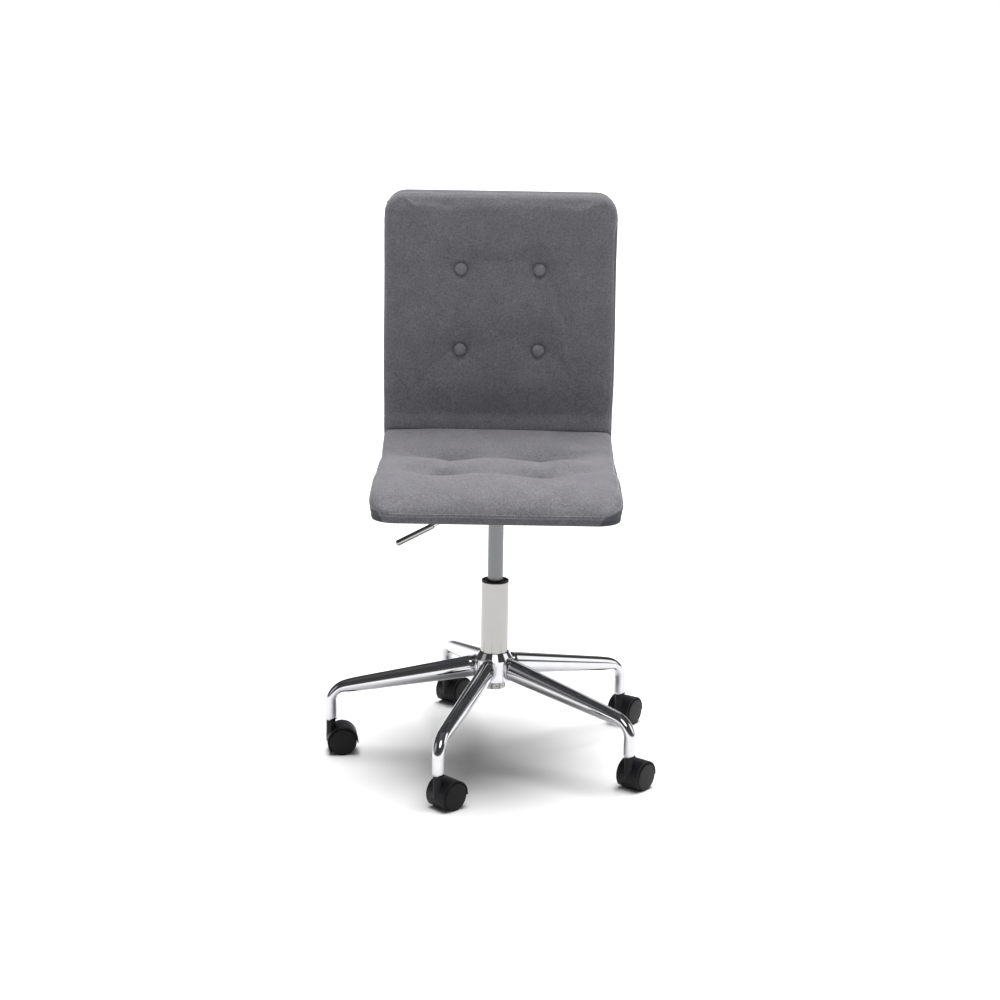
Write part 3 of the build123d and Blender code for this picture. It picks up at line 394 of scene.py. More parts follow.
class Paint:
    """Node tree of one material around a Principled shader."""

    def __init__(self, name):
        self.material = bpy.data.materials.new(name)
        self.material.use_nodes = True
        self.tree = self.material.node_tree
        self.shader = self.tree.nodes["Principled BSDF"]
        self.place = self.add("ShaderNodeTexCoord").outputs["Object"]

    def add(self, kind, **settings):
        node = self.tree.nodes.new(kind)
        for key, value in settings.items():
            setattr(node, key, value)
        return node

    def feed(self, socket, value):
        if isinstance(value, bpy.types.NodeSocket):
            self.tree.links.new(value, socket)
        else:
            socket.default_value = value

    def noise(self, scale, detail=2.0, rough=0.5, place=None, distortion=0.0):
        node = self.add("ShaderNodeTexNoise")
        self.feed(node.inputs["Vector"], place or self.place)
        node.inputs["Scale"].default_value = scale
        node.inputs["Detail"].default_value = detail
        node.inputs["Roughness"].default_value = rough
        node.inputs["Distortion"].default_value = distortion
        return node.outputs["Fac"]

    def stretched(self, x, y, z, turn=(0, 0, 0)):
        node = self.add("ShaderNodeMapping")
        self.feed(node.inputs["Vector"], self.place)
        node.inputs["Scale"].default_value = (x, y, z)
        node.inputs["Rotation"].default_value = turn
        return node.outputs["Vector"]

    def math(self, operation, a, b=0.0, clamp=False):
        node = self.add("ShaderNodeMath", operation=operation, use_clamp=clamp)
        self.feed(node.inputs[0], a)
        self.feed(node.inputs[1], b)
        return node.outputs[0]

    def ramp(self, value, low, high, to_low=0.0, to_high=1.0):
        node = self.add("ShaderNodeMapRange", clamp=True)
        self.feed(node.inputs["Value"], value)
        node.inputs["From Min"].default_value = low
        node.inputs["From Max"].default_value = high
        node.inputs["To Min"].default_value = to_low
        node.inputs["To Max"].default_value = to_high
        return node.outputs["Result"]

    def mix(self, share, a, b):
        node = self.add("ShaderNodeMix", data_type="RGBA")
        self.feed(node.inputs["Factor"], share)
        self.feed(node.inputs[6], a)
        self.feed(node.inputs[7], b)
        return node.outputs[2]

    def bump(self, height, distance, strength=1.0, under=None):
        node = self.add("ShaderNodeBump")
        node.inputs["Strength"].default_value = strength
        node.inputs["Distance"].default_value = distance
        self.feed(node.inputs["Height"], height)
        if under is not None:
            self.feed(node.inputs["Normal"], under)
        return node.outputs["Normal"]

    def finish(self, **inputs):
        for key, value in inputs.items():
            self.feed(self.shader.inputs[key.replace("_", " ")], value)
        return self.material


def rgb(r, g, b):
    return (r, g, b, 1.0)


def weave_height(paint, pitch):
    """Height of a plain weave that needs no UVs: threads across, and threads along the chair."""
    split = paint.add("ShaderNodeSeparateXYZ")
    paint.feed(split.inputs[0], paint.place)
    wander = paint.math("MULTIPLY", paint.noise(160, 2), 0.004)
    across = paint.math("ADD", split.outputs["X"], wander)
    along = paint.math("ADD", paint.math("ADD", split.outputs["Y"], split.outputs["Z"]), wander)
    turn = 2 * math.pi / pitch
    warp = paint.math("SINE", paint.math("MULTIPLY", across, turn))
    weft = paint.math("SINE", paint.math("MULTIPLY", along, turn))
    return paint.math("MULTIPLY", warp, weft)


def cloth(name, light, dark, trim=None):
    """Felted melange cloth: two yarn colours, weave, loose fibres. The trim colour shows past the seam."""
    paint = Paint(name)
    fibres = paint.noise(1500, 3, 0.7)
    clumps = paint.noise(340, 3, 0.6)
    patches = paint.noise(28, 3, 0.5)
    yarn = paint.math("ADD", paint.math("MULTIPLY", fibres, 0.45), paint.math("MULTIPLY", clumps, 0.55))
    share = paint.ramp(yarn, 0.40, 0.60)
    patch_share = paint.ramp(patches, 0.35, 0.65, 0.0, 0.22)
    colour = paint.mix(share, rgb(*dark), rgb(*light))
    colour = paint.mix(patch_share, colour, rgb(*[c * 0.82 for c in dark]))
    if trim:
        gap = paint.add("ShaderNodeAttribute", attribute_name="past_seam").outputs["Fac"]
        trim_light = [c * 1.25 for c in trim]
        trim_colour = paint.mix(share, rgb(*trim), rgb(*trim_light))
        colour = paint.mix(paint.ramp(gap, -0.0002, 0.0002), colour, trim_colour)
    weave = weave_height(paint, 0.0016)
    height = paint.math("ADD", paint.math("MULTIPLY", weave, 0.35), paint.math("MULTIPLY", clumps, 1.2))
    normal = paint.bump(height, 0.00045, 0.75)
    normal = paint.bump(fibres, 0.0003, 0.6, normal)
    rough = paint.ramp(clumps, 0.3, 0.7, 0.86, 0.97)
    return paint.finish(
        Base_Color=colour,
        Roughness=rough,
        Normal=normal,
        Sheen_Weight=0.10,
        Sheen_Roughness=0.45,
        Specular_IOR_Level=0.2,
    )


def metal(name, colour, rough, spread, grain=None, bump=0.00002, stretch=(1, 1, 1), waver=0.0):
    """Metal with fine lines or specks and slightly uneven polish."""
    paint = Paint(name)
    place = paint.stretched(*stretch)
    fine = paint.noise(grain or 900, 3, 0.6, place)
    broad = paint.noise(35, 2, 0.5)
    level = paint.math("ADD", paint.math("MULTIPLY", fine, 0.6), paint.math("MULTIPLY", broad, 0.4))
    tone = paint.ramp(broad, 0.3, 0.7, 0.0, 1.0)
    tint = paint.mix(tone, rgb(*[c * 0.94 for c in colour]), rgb(*colour))
    normal = paint.bump(fine, bump, 0.5)
    if waver:
        normal = paint.bump(paint.noise(60, 1, 0.4), waver, 0.4, normal)
    return paint.finish(
        Base_Color=tint,
        Metallic=1.0,
        Roughness=paint.ramp(level, 0.3, 0.7, rough - spread, rough + spread),
        Normal=normal,
    )


def moulded(name, colour, rough, grain=1400, depth=0.00008, sheen=0.0, coat=0.0, specular=0.5):
    """Plastic, rubber or powder coat: fine moulded grain, patchy gloss, dusty scuffs."""
    paint = Paint(name)
    fine = paint.noise(grain, 2, 0.55)
    broad = paint.noise(40, 3, 0.6)
    scuff = paint.ramp(paint.noise(220, 4, 0.75, paint.stretched(1, 1, 2.5)), 0.62, 0.8, 0.0, 0.25)
    tint = paint.mix(paint.ramp(broad, 0.3, 0.7), rgb(*colour), rgb(*[c * 1.18 for c in colour]))
    tint = paint.mix(scuff, tint, rgb(*[c * 1.9 + 0.004 for c in colour]))
    return paint.finish(
        Base_Color=tint,
        Roughness=paint.ramp(broad, 0.3, 0.7, rough - 0.06, rough + 0.06),
        Normal=paint.bump(fine, depth, 0.6),
        Sheen_Weight=sheen,
        Coat_Weight=coat,
        Specular_IOR_Level=specular,
    )


def plywood():
    """Raw bent plywood: long grain across the shell."""
    paint = Paint("plywood_grain")
    grain = paint.noise(55, 5, 0.65, paint.stretched(0.25, 3.0, 3.0), 0.4)
    pores = paint.noise(420, 2, 0.6, paint.stretched(0.08, 1, 1))
    tint = paint.mix(paint.ramp(grain, 0.35, 0.65), rgb(0.40, 0.25, 0.13), rgb(0.62, 0.45, 0.27))
    tint = paint.mix(paint.ramp(pores, 0.6, 0.75, 0.0, 0.5), tint, rgb(0.22, 0.13, 0.07))
    rough = paint.ramp(grain, 0.3, 0.7, 0.55, 0.72)
    return paint.finish(Base_Color=tint, Roughness=rough, Normal=paint.bump(pores, 0.0002, 0.5))


def twisted_twine():
    paint = Paint("twisted_twine")
    strands = paint.noise(700, 2, 0.5, paint.stretched(1, 1, 0.4, (0.5, 0.3, 0)))
    tint = paint.mix(paint.ramp(strands, 0.4, 0.6), rgb(0.10, 0.10, 0.105), rgb(0.22, 0.22, 0.225))
    rough = paint.ramp(strands, 0.3, 0.7, 0.6, 0.8)
    return paint.finish(Base_Color=tint, Roughness=rough, Normal=paint.bump(strands, 0.0003, 0.8))


GREY_LIGHT = (0.1480, 0.1449, 0.1575)
GREY_DARK = (0.0819, 0.0800, 0.0869)
CHARCOAL = (0.050, 0.052, 0.060)

MATERIALS = {
    "chrome": metal("polished_chrome", (0.585, 0.585, 0.60), 0.06, 0.025, 500, 0.00001, waver=0.00004),
    "satin_chrome": metal("satin_tube", (0.36, 0.357, 0.347), 0.21, 0.05, 900, 0.00004, (6, 6, 0.4)),
    "grey_steel": metal("grey_cylinder", (0.178, 0.181, 0.185), 0.36, 0.05, 1200, 0.00003, (4, 4, 0.6)),
    "zinc_steel": metal("zinc_plated", (0.60, 0.61, 0.63), 0.34, 0.08, 700, 0.00004),
    "black_steel": moulded("black_powder_coat", (0.018, 0.018, 0.020), 0.42, 2600, 0.00007, coat=0.15),
    "aluminium_part": metal("machined_aluminium", (0.66, 0.66, 0.68), 0.30, 0.06, 900, 0.00003, (5, 5, 1)),
    "brass_cage": metal("cage_brass", (0.66, 0.47, 0.18), 0.30, 0.06, 800, 0.00003),
    "rubber": moulded("bumper_rubber", (0.018, 0.018, 0.018), 0.78, 900, 0.0001),
    "black_nylon": moulded("hood_nylon", (0.0045, 0.0045, 0.0056), 0.46, 1500, 0.00009, specular=0.2),
    "black_nylon_wheel": moulded("wheel_nylon", (0.0040, 0.0038, 0.0042), 0.42, 1700, 0.00006, specular=0.18),
    "plywood": plywood(),
    "dark_fabric": cloth("dark_cloth", [c * 1.35 for c in CHARCOAL], CHARCOAL),
    "grey_fabric": cloth("grey_cloth", GREY_LIGHT, GREY_DARK, CHARCOAL),
    "twine": twisted_twine(),
    # Button cloth is the grey cloth made 1.28 times lighter: painted light that offsets the shade the buttons
    # get in their dimples.
    "button_cloth_painted_light": cloth("button_cloth_painted_light", [c * 1.28 for c in GREY_LIGHT], [c * 1.28 for c in GREY_DARK]),
    "seam_cloth": cloth("seam_cloth", [c * 1.12 for c in GREY_LIGHT], [c * 1.12 for c in GREY_DARK]),
    "thread": cloth("thread", (0.30, 0.295, 0.32), (0.20, 0.197, 0.21)),
}


def paint_cad_nodes():
    """Every CAD node takes the finish of its slot in the record; grey cloth nodes take the lightened button
    cloth, which is painted light against the shade in the button dimples.
    """
    slots = {row["node"]: row["material_slot"] for row in frame["record"]["subparts"]}
    for name, piece in nodes.items():
        piece.data.materials.clear()
        slot = slots[name]
        piece.data.materials.append(MATERIALS["button_cloth_painted_light" if slot == "grey_fabric" else slot])


def mark_past_seam(piece, values):
    """Signed distance past the side seams, for the cloth's trim colour."""
    layer = piece.data.attributes.new("past_seam", "FLOAT", "POINT")
    layer.data.foreach_set("value", np.asarray(values, np.float32))


def line_distance(points, line):
    """Distance of 2-D points from an open line."""
    nearest = np.full(len(points), 1e9)
    for first, last in zip(line[:-1], line[1:]):
        edge = np.subtract(last, first)
        offset = points - first
        share = np.clip(offset @ edge / max(edge @ edge, 1e-12), 0, 1)
        nearest = np.minimum(nearest, ((offset - share[:, None] * edge) ** 2).sum(1))
    return np.sqrt(nearest)


# How far round the edge roll each side seam lies: 0 where the roll starts, and twice
# the roll's radius where it meets the side. Below 0 the seam is on the face.
# The right side (1) keeps its seam nearer the face, rises less at the nose and is cut further at the front
# corner, so more charcoal trim shows on the right than on the left: painted shade on the right side. The
# welts and stitching follow the same lines.
SEAM_ROUND = {1: 0.0126, -1: 0.0186}
SEAM_NOSE_RISE = {1: 0.006, -1: 0.010}
SEAM_CORNER_CUT = {1: 0.034, -1: 0.020}


def seam_round(side, y, z):
    """Where the side seam lies round the edge, at a place along the chair."""
    to_rear = 0.034 * step_up(z, 0.925, 0.985)
    front = step_up(-y, 0.17, 0.21)
    rise = SEAM_NOSE_RISE[side] * front * step_up(z, 0.512, 0.53)
    cut = SEAM_CORNER_CUT[side] * front * step_up(-z, -0.522, -0.507)
    return SEAM_ROUND[side] + to_rear + rise - cut


def past_seam(points, face):
    """Distance of points past the side seam, negative on the face's side."""
    x, y, z = points.T
    round_edge = np.abs(x) - CUSHION_HALF_WIDTH + EDGE_ROLL + line_distance(points[:, 1:], face)
    seam = np.where(x > 0, seam_round(1, y, z), seam_round(-1, y, z))
    return round_edge - seam


def seam_line(side, face, surface, inset):
    """Points on a cushion along its side seam, drawn inset towards the middle, with normals."""
    line = np.array(face)
    steps = np.concatenate([[0], np.cumsum(np.hypot(*np.diff(line, axis=0).T))])
    stations = np.linspace(0, steps[-1], int(steps[-1] / 0.004))
    ys, zs = (np.interp(stations, steps, line[:, k]) for k in range(2))
    slope = np.stack([np.gradient(ys), np.gradient(zs)], 1)
    slope /= np.linalg.norm(slope, axis=1, keepdims=True)
    found = []
    for y, z, (dy, dz) in zip(ys, zs, slope):
        reach = float(seam_round(side, y, z)) - inset
        if reach < 0:
            across, depth = CUSHION_HALF_WIDTH - EDGE_ROLL + reach, 0.0
        elif reach < 2 * EDGE_ROLL:
            turn = math.pi / 4 + math.asin((reach / EDGE_ROLL - 1) / math.sqrt(2))
            across = CUSHION_HALF_WIDTH - EDGE_ROLL * (1 - math.sin(turn))
            depth = EDGE_ROLL * (1 - math.cos(turn))
        else:
            across, depth = CUSHION_HALF_WIDTH, reach - EDGE_ROLL
        # each face runs so that its inner side lies on the left
        guess = Vector((side * across, y - dz * depth, z + dy * depth))
        place, normal, _, _ = surface.find_nearest(guess)
        found.append((place, normal))
    return found


# ---- pieces ----


SIM_PRESSURE = 4
SIM_CAP = 0.003  # farthest that the padding moves a point
SIM_STEPS = 20


def plumped(piece, held, pressure, cap):
    """Let the padding press the cloth out by cloth simulation, where it isn't held."""
    group = piece.vertex_groups.new(name="held")
    for index in np.nonzero(held > 0.01)[0]:
        group.add([int(index)], float(held[index]), "REPLACE")
    cloth_sim = piece.modifiers.new("padding", "CLOTH")
    settings = cloth_sim.settings
    settings.quality = 5
    settings.mass = 0.35
    settings.tension_stiffness = 18
    settings.compression_stiffness = 18
    settings.shear_stiffness = 6
    settings.bending_stiffness = 1.2
    settings.use_pressure = True
    settings.uniform_pressure_force = pressure
    settings.vertex_group_mass = "held"
    settings.pin_stiffness = 1.0
    settings.effector_weights.gravity = 0
    cloth_sim.collision_settings.use_collision = False
    rest = points_of(piece)
    scene = bpy.context.scene
    for step in range(1, SIM_STEPS + 1):
        scene.frame_set(step)
    swollen = piece.evaluated_get(bpy.context.evaluated_depsgraph_get())
    flat = np.zeros(len(rest) * 3)
    swollen.data.vertices.foreach_get("co", flat)
    move = flat.reshape(-1, 3) - rest
    piece.modifiers.clear()
    piece.vertex_groups.clear()
    length = np.maximum(np.linalg.norm(move, axis=1, keepdims=True), 1e-9)
    set_points(piece, rest + move / length * cap * np.tanh(length / cap))
    scene.frame_set(1)
    return piece


def held_points(points, base_line, spots, plane):
    """How firmly each point is held: at the board, and under each button."""
    held = 1 - step_up(line_distance(points[:, 1:], base_line), 0.004, 0.012)
    for spot in spots:
        reach = np.hypot(points[:, plane[0]] - spot[0], points[:, plane[1]] - spot[1])
        held = np.maximum(held, 1 - step_up(reach, 0.015, 0.026))
    return held


def welt(name, line, width, height):
    """Turned edge of cloth that follows a seam: a low rounded ridge lying on the surface."""
    places = np.array([tuple(p) for p, _ in line])
    ups = np.array([tuple(n) for _, n in line])
    ahead = np.gradient(places, axis=0)
    across = np.cross(ahead, ups)
    across /= np.linalg.norm(across, axis=1, keepdims=True)
    section = np.linspace(0, 2 * math.pi, 12, endpoint=False)
    rings = [p + a * width / 2 * math.cos(t) + u * (height * math.sin(t) - 0.0004)
             for p, a, u in zip(places, across, ups) for t in section]
    count = len(section)
    faces = []
    for ring in range(len(places) - 1):
        for k in range(count):
            here, beside = ring * count + k, ring * count + (k + 1) % count
            faces.append((here, beside, beside + count, here + count))
    faces.append(tuple(range(count)))
    faces.append(tuple(range((len(places) - 1) * count, len(places) * count))[::-1])
    return smooth_shaded(mesh_object(name, rings, faces))


STITCH_LENGTH = 0.0030
STITCH_GAP = 0.0012
STITCH_RADIUS = 0.00045
STITCH_INSET = 0.0056  # from the side seam towards the middle
WELT_INSET = 0.0022
WELT_WIDTH = 0.0046
WELT_HEIGHT = 0.0010


def stitching(name, lines):
    """Row of thread stitches along each line, every stitch dipping into the cloth at its ends."""
    points, faces = [], []
    profile = ((0.0, 0.25, -0.6), (0.15, 0.9, 0.1), (0.5, 1.0, 0.5), (0.85, 0.9, 0.1), (1.0, 0.25, -0.6))
    for line in lines:
        places = np.array([tuple(p) for p, _ in line])
        ups = np.array([tuple(n) for _, n in line])
        along = np.concatenate([[0], np.cumsum(np.linalg.norm(np.diff(places, axis=0), axis=1))])
        for start in np.arange(0, along[-1] - STITCH_LENGTH, STITCH_LENGTH + STITCH_GAP):
            ends = [np.array([np.interp(d, along, places[:, k]) for k in range(3)])
                    for d in (start, start + STITCH_LENGTH)]
            up = np.array([np.interp(start, along, ups[:, k]) for k in range(3)])
            ahead = ends[1] - ends[0]
            across = np.cross(ahead, up)
            across /= np.linalg.norm(across)
            first = len(points)
            for share, girth, lift in profile:
                middle = ends[0] + ahead * share + up * STITCH_RADIUS * lift
                for turn in np.linspace(0, 2 * math.pi, 6, endpoint=False):
                    around = across * math.cos(turn) + up * math.sin(turn)
                    points.append(middle + around * STITCH_RADIUS * girth)
            for ring in range(len(profile) - 1):
                for k in range(6):
                    here, beside = first + ring * 6 + k, first + ring * 6 + (k + 1) % 6
                    faces.append((here, beside, beside + 6, here + 6))
            faces.append(tuple(range(first, first + 6)))
            faces.append(tuple(range(len(points) - 6, len(points)))[::-1])
    return smooth_shaded(mesh_object(name, points, faces))


def make_cover():
    """Cloth skin over the outside of the board."""
    block = voxel_block("shell_skin", COVER_SIDE, COVER_HALF_WIDTH, COVER_VOXEL)
    settle_on(block, cover_distance)
    return smooth_shaded(block)


def surface_of(piece):
    return BVHTree.FromObject(piece, bpy.context.evaluated_depsgraph_get())


def add_piece(piece, material):
    piece.data.materials.append(material)
    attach(piece, "seat")


def front_line(surface, height, reach):
    """Line across the front of the seat at a height, on its surface."""
    found = []
    for x in np.linspace(-reach, reach, 90):
        place, normal, _, _ = surface.ray_cast(Vector((x, -1, height)), Vector((0, 1, 0)))
        found.append((place, normal))
    return found


def build_upholstery():
    back_spots = [(side * BACK_BUTTON_X, z) for z in BACK_BUTTON_HEIGHTS for side in (-1, 1)]
    seat = make_seat_cushion()
    back = make_back_cushion()
    points = points_of(seat)
    by_crease = step_up(points[:, 1], 0.12, 0.17)
    held = np.maximum(held_points(points, SEAT_BASE, SEAT_TUFTS, (0, 1)), by_crease)
    plumped(seat, held, SIM_PRESSURE, SIM_CAP)
    points = points_of(back)
    by_crease = 1 - step_up(points[:, 2], 0.59, 0.65)
    held = np.maximum(held_points(points, BACK_BASE, back_spots, (0, 2)), by_crease)
    plumped(back, held, SIM_PRESSURE, SIM_CAP)
    faces = {"seat": seat_face(), "back": back_face()}
    stitch_lines = []
    for piece, name, fill in ((refined(seat), "seat", 0.75), (refined(back), "back", 0.7)):
        face = faces[name]
        mark_past_seam(piece, past_seam(points_of(piece), face))
        add_piece(piece, MATERIALS["grey_fabric"])
        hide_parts(f"{name}_cushion")
        surface = surface_of(piece)
        for side in (-1, 1):
            side_name = "right" if side > 0 else "left"
            line = seam_line(side, face, surface, WELT_INSET)
            ridge = welt(f"{name}_welt_{side_name}", line, WELT_WIDTH, WELT_HEIGHT)
            add_piece(ridge, MATERIALS["seam_cloth"])
            stitch_lines.append(seam_line(side, face, surface, STITCH_INSET))
        if name == "seat":
            stitch_lines.append(front_line(surface, SHELL_BOTTOM + SEAM_DEPTH + 0.0035, 0.18))
    add_piece(stitching("topstitching", stitch_lines), MATERIALS["thread"])
    cover = refined(make_cover())
    points = points_of(cover)
    seams = past_seam(points, faces["seat"])
    mark_past_seam(cover, np.maximum(seams - 0.006, points[:, 1] - SHELL_FRONT - 0.008))
    add_piece(cover, MATERIALS["grey_fabric"])
    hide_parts("rear_cover")


# ---- legs: one smooth drawn tube each ----

STEM_CIRCLE = 0.298
LEG_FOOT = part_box("leg_1")[0].z
LEG_WALL = 0.0016
LEG_SLOPE = math.radians(10.4)
LEG_ROOT = (0.042, 0.1696)  # radius and height of the centre line at the hub
LEG_ROOT_SIZE = np.array((0.040, 0.030))  # height and width of the oval
LEG_END_SIZE = np.array((0.026, 0.0236))
LEG_BEND_SIZE = np.array((0.0184, 0.0224))
LEG_STEM_SIZE = np.array((0.022, 0.022))
LEG_BEND_RADIUS = 0.032
LEG_COUNT = 5
LEG_SIDES = 48
FIRST_LEG = math.pi
WELD_RADIUS = 0.0013
HUB_OVERLAP = 0.002  # how far a leg reaches into the hub
HUB_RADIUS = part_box("base_hub")[1].x


def leg_stations():
    """Centre line of a leg as (radius, height, fall) with the oval's size at each."""
    turn = math.pi / 2 - LEG_SLOPE
    centre = STEM_CIRCLE - LEG_BEND_RADIUS
    bend_start = centre + LEG_BEND_RADIUS * math.cos(turn)
    run = bend_start - LEG_ROOT[0]
    end_height = LEG_ROOT[1] - run * math.tan(LEG_SLOPE)
    centre_height = end_height - LEG_BEND_RADIUS * math.sin(turn)
    stations = []
    for share in np.linspace(-0.02, 1, 40, endpoint=False):
        size = LEG_ROOT_SIZE + (LEG_END_SIZE - LEG_ROOT_SIZE) * max(share, 0)
        size = size + (LEG_BEND_SIZE - LEG_END_SIZE) * 0.5 * step_up(share, 0.86, 1.14)
        height = LEG_ROOT[1] - share * run * math.tan(LEG_SLOPE)
        stations.append((LEG_ROOT[0] + share * run, height, LEG_SLOPE, size))
    at_bend = stations[-1][3]
    for share in np.linspace(0, 1, 28, endpoint=False):
        a = turn * (1 - share)
        size = at_bend + (LEG_BEND_SIZE - at_bend) * step_up(share, -0.25, 0.45)
        size = size + (LEG_STEM_SIZE - LEG_BEND_SIZE) * step_up(share, 0.55, 1.1)
        place = (centre + LEG_BEND_RADIUS * math.cos(a), centre_height + LEG_BEND_RADIUS * math.sin(a))
        stations.append((*place, LEG_SLOPE + turn * share, size))
    last_size = stations[-1][3]
    for share in np.linspace(0, 1, 8):
        size = last_size + (LEG_STEM_SIZE - last_size) * step_up(share, 0, 0.5)
        height = centre_height + (LEG_FOOT - centre_height) * share
        stations.append((STEM_CIRCLE, height, math.pi / 2, size))
    return stations


def leg_rings(angle, wall):
    """Rings of points along a leg, drawn in from its outer face by a wall."""
    out = np.array((math.cos(angle), math.sin(angle), 0))
    aside = np.array((-math.sin(angle), math.cos(angle), 0))
    up = np.array((0, 0, 1.0))
    points = []
    for index, (radius, height, fall, size) in enumerate(leg_stations()):
        ahead = out * math.cos(fall) - up * math.sin(fall)
        above = out * math.sin(fall) + up * math.cos(fall)
        tall, wide = size / 2 - wall
        for turn in np.linspace(0, 2 * math.pi, LEG_SIDES, endpoint=False):
            point = out * radius + up * height
            point = point + above * tall * math.cos(turn) + aside * wide * math.sin(turn)
            if index == 0:
                # run back along the leg until the point is just inside the hub
                for _ in range(4):
                    point = point - ahead * (math.hypot(point[0], point[1]) - HUB_RADIUS + HUB_OVERLAP)
            points.append(point)
    return points


def make_leg(index):
    """Hollow leg, and the line of its weld at the hub."""
    sides = LEG_SIDES
    angle = FIRST_LEG + index * 2 * math.pi / LEG_COUNT
    outer = leg_rings(angle, 0.0)
    inner = leg_rings(angle, LEG_WALL)
    total = len(outer)
    faces = []
    for ring in range(total // sides - 1):
        for k in range(sides):
            here, beside = ring * sides + k, ring * sides + (k + 1) % sides
            faces.append((here, here + sides, beside + sides, beside))
            faces.append((total + here, total + beside, total + beside + sides, total + here + sides))
    for k in range(sides):
        beside = (k + 1) % sides
        last, last_beside = total - sides + k, total - sides + beside
        faces.append((k, beside, total + beside, total + k))
        faces.append((last_beside, last, total + last, total + last_beside))
    leg = smooth_shaded(mesh_object(f"leg_tube_{index + 1}", outer + inner, faces))
    leg.data.materials.append(MATERIALS["chrome"])
    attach(leg, "base")
    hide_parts(f"leg_{index + 1}")
    return weld_line(angle)


def weld_line(angle):
    """Where a leg meets the hub, as points with normals."""
    out = np.array((math.cos(angle), math.sin(angle), 0))
    aside = np.array((-math.sin(angle), math.cos(angle), 0))
    line = []
    for turn in np.linspace(0, 2 * math.pi, 60):
        across = LEG_ROOT_SIZE[1] / 2 * math.sin(turn)
        height = LEG_ROOT[1] + WELD_RADIUS + LEG_ROOT_SIZE[0] / 2 * math.cos(turn)
        reach = math.sqrt(HUB_RADIUS**2 - across**2)
        point = out * reach + aside * across + np.array((0, 0, height))
        line.append((Vector(point), Vector(out)))
    return line


def build_legs():
    lines = [make_leg(index) for index in range(LEG_COUNT)]
    for index, line in enumerate(lines):
        bead = welt(f"weld_bead_{index + 1}", line, 2 * WELD_RADIUS, WELD_RADIUS)
        bead.data.materials.append(MATERIALS["chrome"])
        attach(bead, "base")


def soften_casters():
    """Rounded moulding edges on the caster hoods and wheels."""
    for name, piece in nodes.items():
        if name.endswith("_hood") or "_wheel_" in name:
            weld = piece.modifiers.new("joined", "WELD")
            weld.merge_threshold = 1e-5
            bevel = piece.modifiers.new("rounded", "BEVEL")
            bevel.width = 0.0016 if "_wheel_" in name else 0.0013
            bevel.segments = 3
            bevel.limit_method = "ANGLE"
            bevel.angle_limit = math.radians(38)
            smooth_shaded(piece)


# ---- studio ----

CAMERA_PLACE = Vector((0.0063, -3.777, 1.3787))
CAMERA_FALL = 0.2332  # radians below level
CAMERA_ROLL = 0.0160
CAMERA_LENS = 77.94


def make_camera():
    data = bpy.data.cameras.new("camera")
    data.lens = CAMERA_LENS
    data.sensor_width = 36
    data.clip_end = 200
    camera = new_object("camera", data)
    up = Vector((0, math.sin(CAMERA_FALL), math.cos(CAMERA_FALL)))
    across = Vector((1, 0, 0))
    right = across * math.cos(CAMERA_ROLL) + up * math.sin(CAMERA_ROLL)
    top = up * math.cos(CAMERA_ROLL) - across * math.sin(CAMERA_ROLL)
    turn = Matrix((right, top, right.cross(top))).transposed()
    camera.matrix_world = Matrix.Translation(CAMERA_PLACE) @ turn.to_4x4()
    bpy.context.scene.camera = camera


def make_floor():
    size = 300
    corners = [(-size, -size, 0), (size, -size, 0), (size, size, 0), (-size, size, 0)]
    floor = mesh_object("floor", corners, [(0, 1, 2, 3)])
    paint = Paint("pale_floor")
    tone = paint.ramp(paint.noise(3, 2), 0.3, 0.7)
    tint = paint.mix(tone, rgb(0.54, 0.54, 0.542), rgb(0.55, 0.55, 0.552))
    floor.data.materials.append(paint.finish(Base_Color=tint, Roughness=0.9, Specular_IOR_Level=0.1))


def make_soft_sun(name, towards, strength, spread):
    """Very soft light from one side of the sky, left out of mirror reflections."""
    data = bpy.data.lights.new(name, "SUN")
    data.energy = strength
    data.angle = math.radians(spread)
    lamp = new_object(name, data)
    lamp.rotation_euler = Vector(towards).to_track_quat("Z", "Y").to_euler()
    lamp.visible_glossy = False


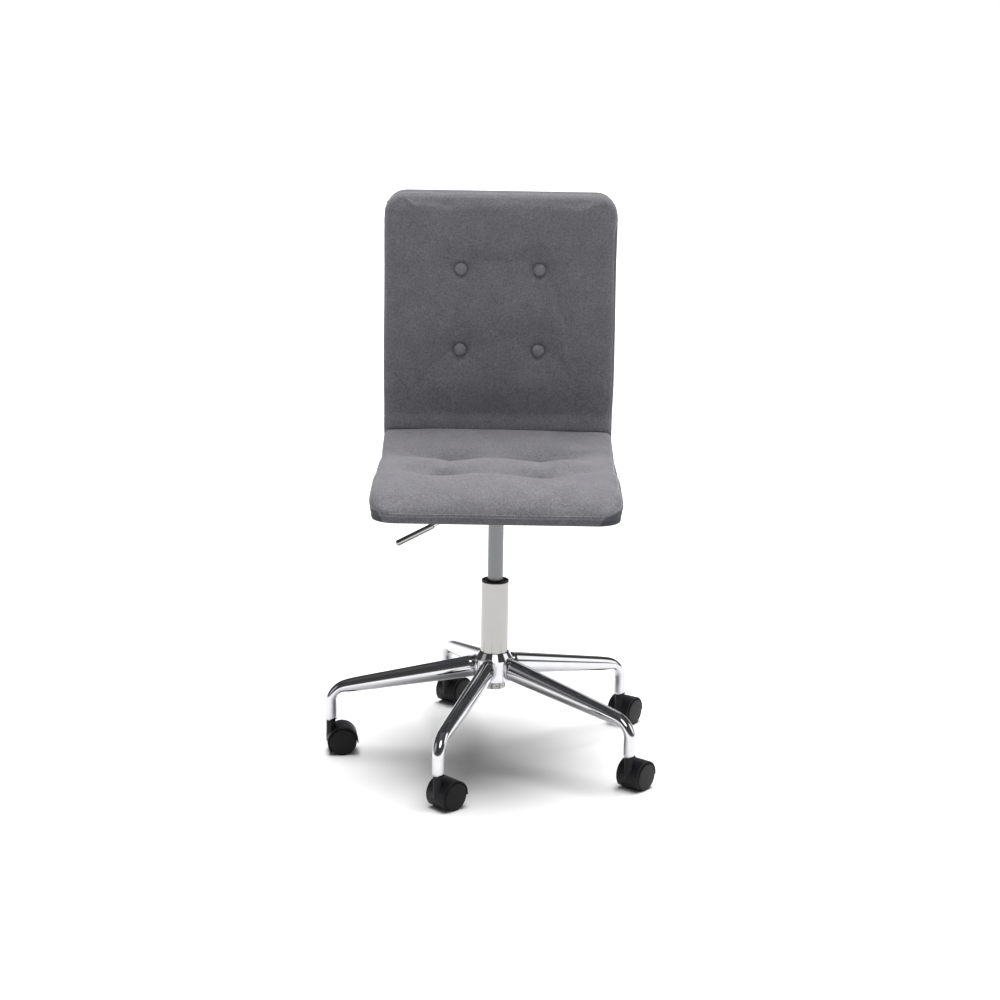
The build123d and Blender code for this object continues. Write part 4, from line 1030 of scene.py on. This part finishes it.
WORLD_BANDS = (  # sine of the elevation, brightness
    (-0.2, 1.02),
    (0.03, 1.02),
    (0.08, 0.16),
    (0.30, 0.08),
    (0.80, 0.07),
    (1.0, 0.15),
)
SOFT_BOXES = (  # direction, cosine where it fades out, cosine where it is full, brightness
    ((0.10, -0.62, 0.78), 0.955, 0.985, 3.0),
    ((-0.90, -0.20, 0.42), 0.94, 0.98, 0.5),
    ((0.92, 0.10, 0.40), 0.94, 0.98, 1.6),
    ((0.10, 0.80, 0.60), 0.95, 0.99, 1.0),
)


def make_world():
    """Soft studio surroundings: pale near the floor, grey above, with four soft boxes."""
    world = bpy.data.worlds.new("studio")
    world.use_nodes = True
    tree = world.node_tree
    coords = tree.nodes.new("ShaderNodeTexCoord")
    split = tree.nodes.new("ShaderNodeSeparateXYZ")
    spread = tree.nodes.new("ShaderNodeMapRange")
    spread.inputs["From Min"].default_value = -1
    ramp = tree.nodes.new("ShaderNodeValToRGB")
    elements = ramp.color_ramp.elements
    while len(elements) < len(WORLD_BANDS):
        elements.new(0.5)
    for element, (height, level) in zip(elements, WORLD_BANDS):
        element.position = (height + 1) / 2
        element.color = (level, level, level * 1.01, 1)
    background = tree.nodes["Background"]
    tree.links.new(coords.outputs["Generated"], split.inputs[0])
    tree.links.new(split.outputs["Z"], spread.inputs["Value"])
    tree.links.new(spread.outputs["Result"], ramp.inputs["Fac"])
    light = ramp.outputs["Color"]
    for direction, fade, full, level in SOFT_BOXES:
        facing = tree.nodes.new("ShaderNodeVectorMath")
        facing.operation = "DOT_PRODUCT"
        facing.inputs[1].default_value = Vector(direction).normalized()
        tree.links.new(coords.outputs["Generated"], facing.inputs[0])
        box = tree.nodes.new("ShaderNodeMapRange")
        box.interpolation_type = "SMOOTHSTEP"
        box.inputs["From Min"].default_value = fade
        box.inputs["From Max"].default_value = full
        box.inputs["To Max"].default_value = level
        tree.links.new(facing.outputs["Value"], box.inputs["Value"])
        joined = tree.nodes.new("ShaderNodeVectorMath")
        joined.operation = "ADD"
        tree.links.new(light, joined.inputs[0])
        tree.links.new(box.outputs["Result"], joined.inputs[1])
        light = joined.outputs["Vector"]
    tree.links.new(light, background.inputs["Color"])
    bpy.context.scene.world = world


def make_studio():
    make_camera()
    make_floor()
    make_world()
    make_soft_sun("overhead", (0.06, 0.12, 1.0), 8.8, 46)
    bpy.context.scene.view_settings.view_transform = "Standard"
    bpy.context.scene.view_settings.look = "None"


make_studio()
paint_cad_nodes()
build_upholstery()
build_legs()
soften_casters()
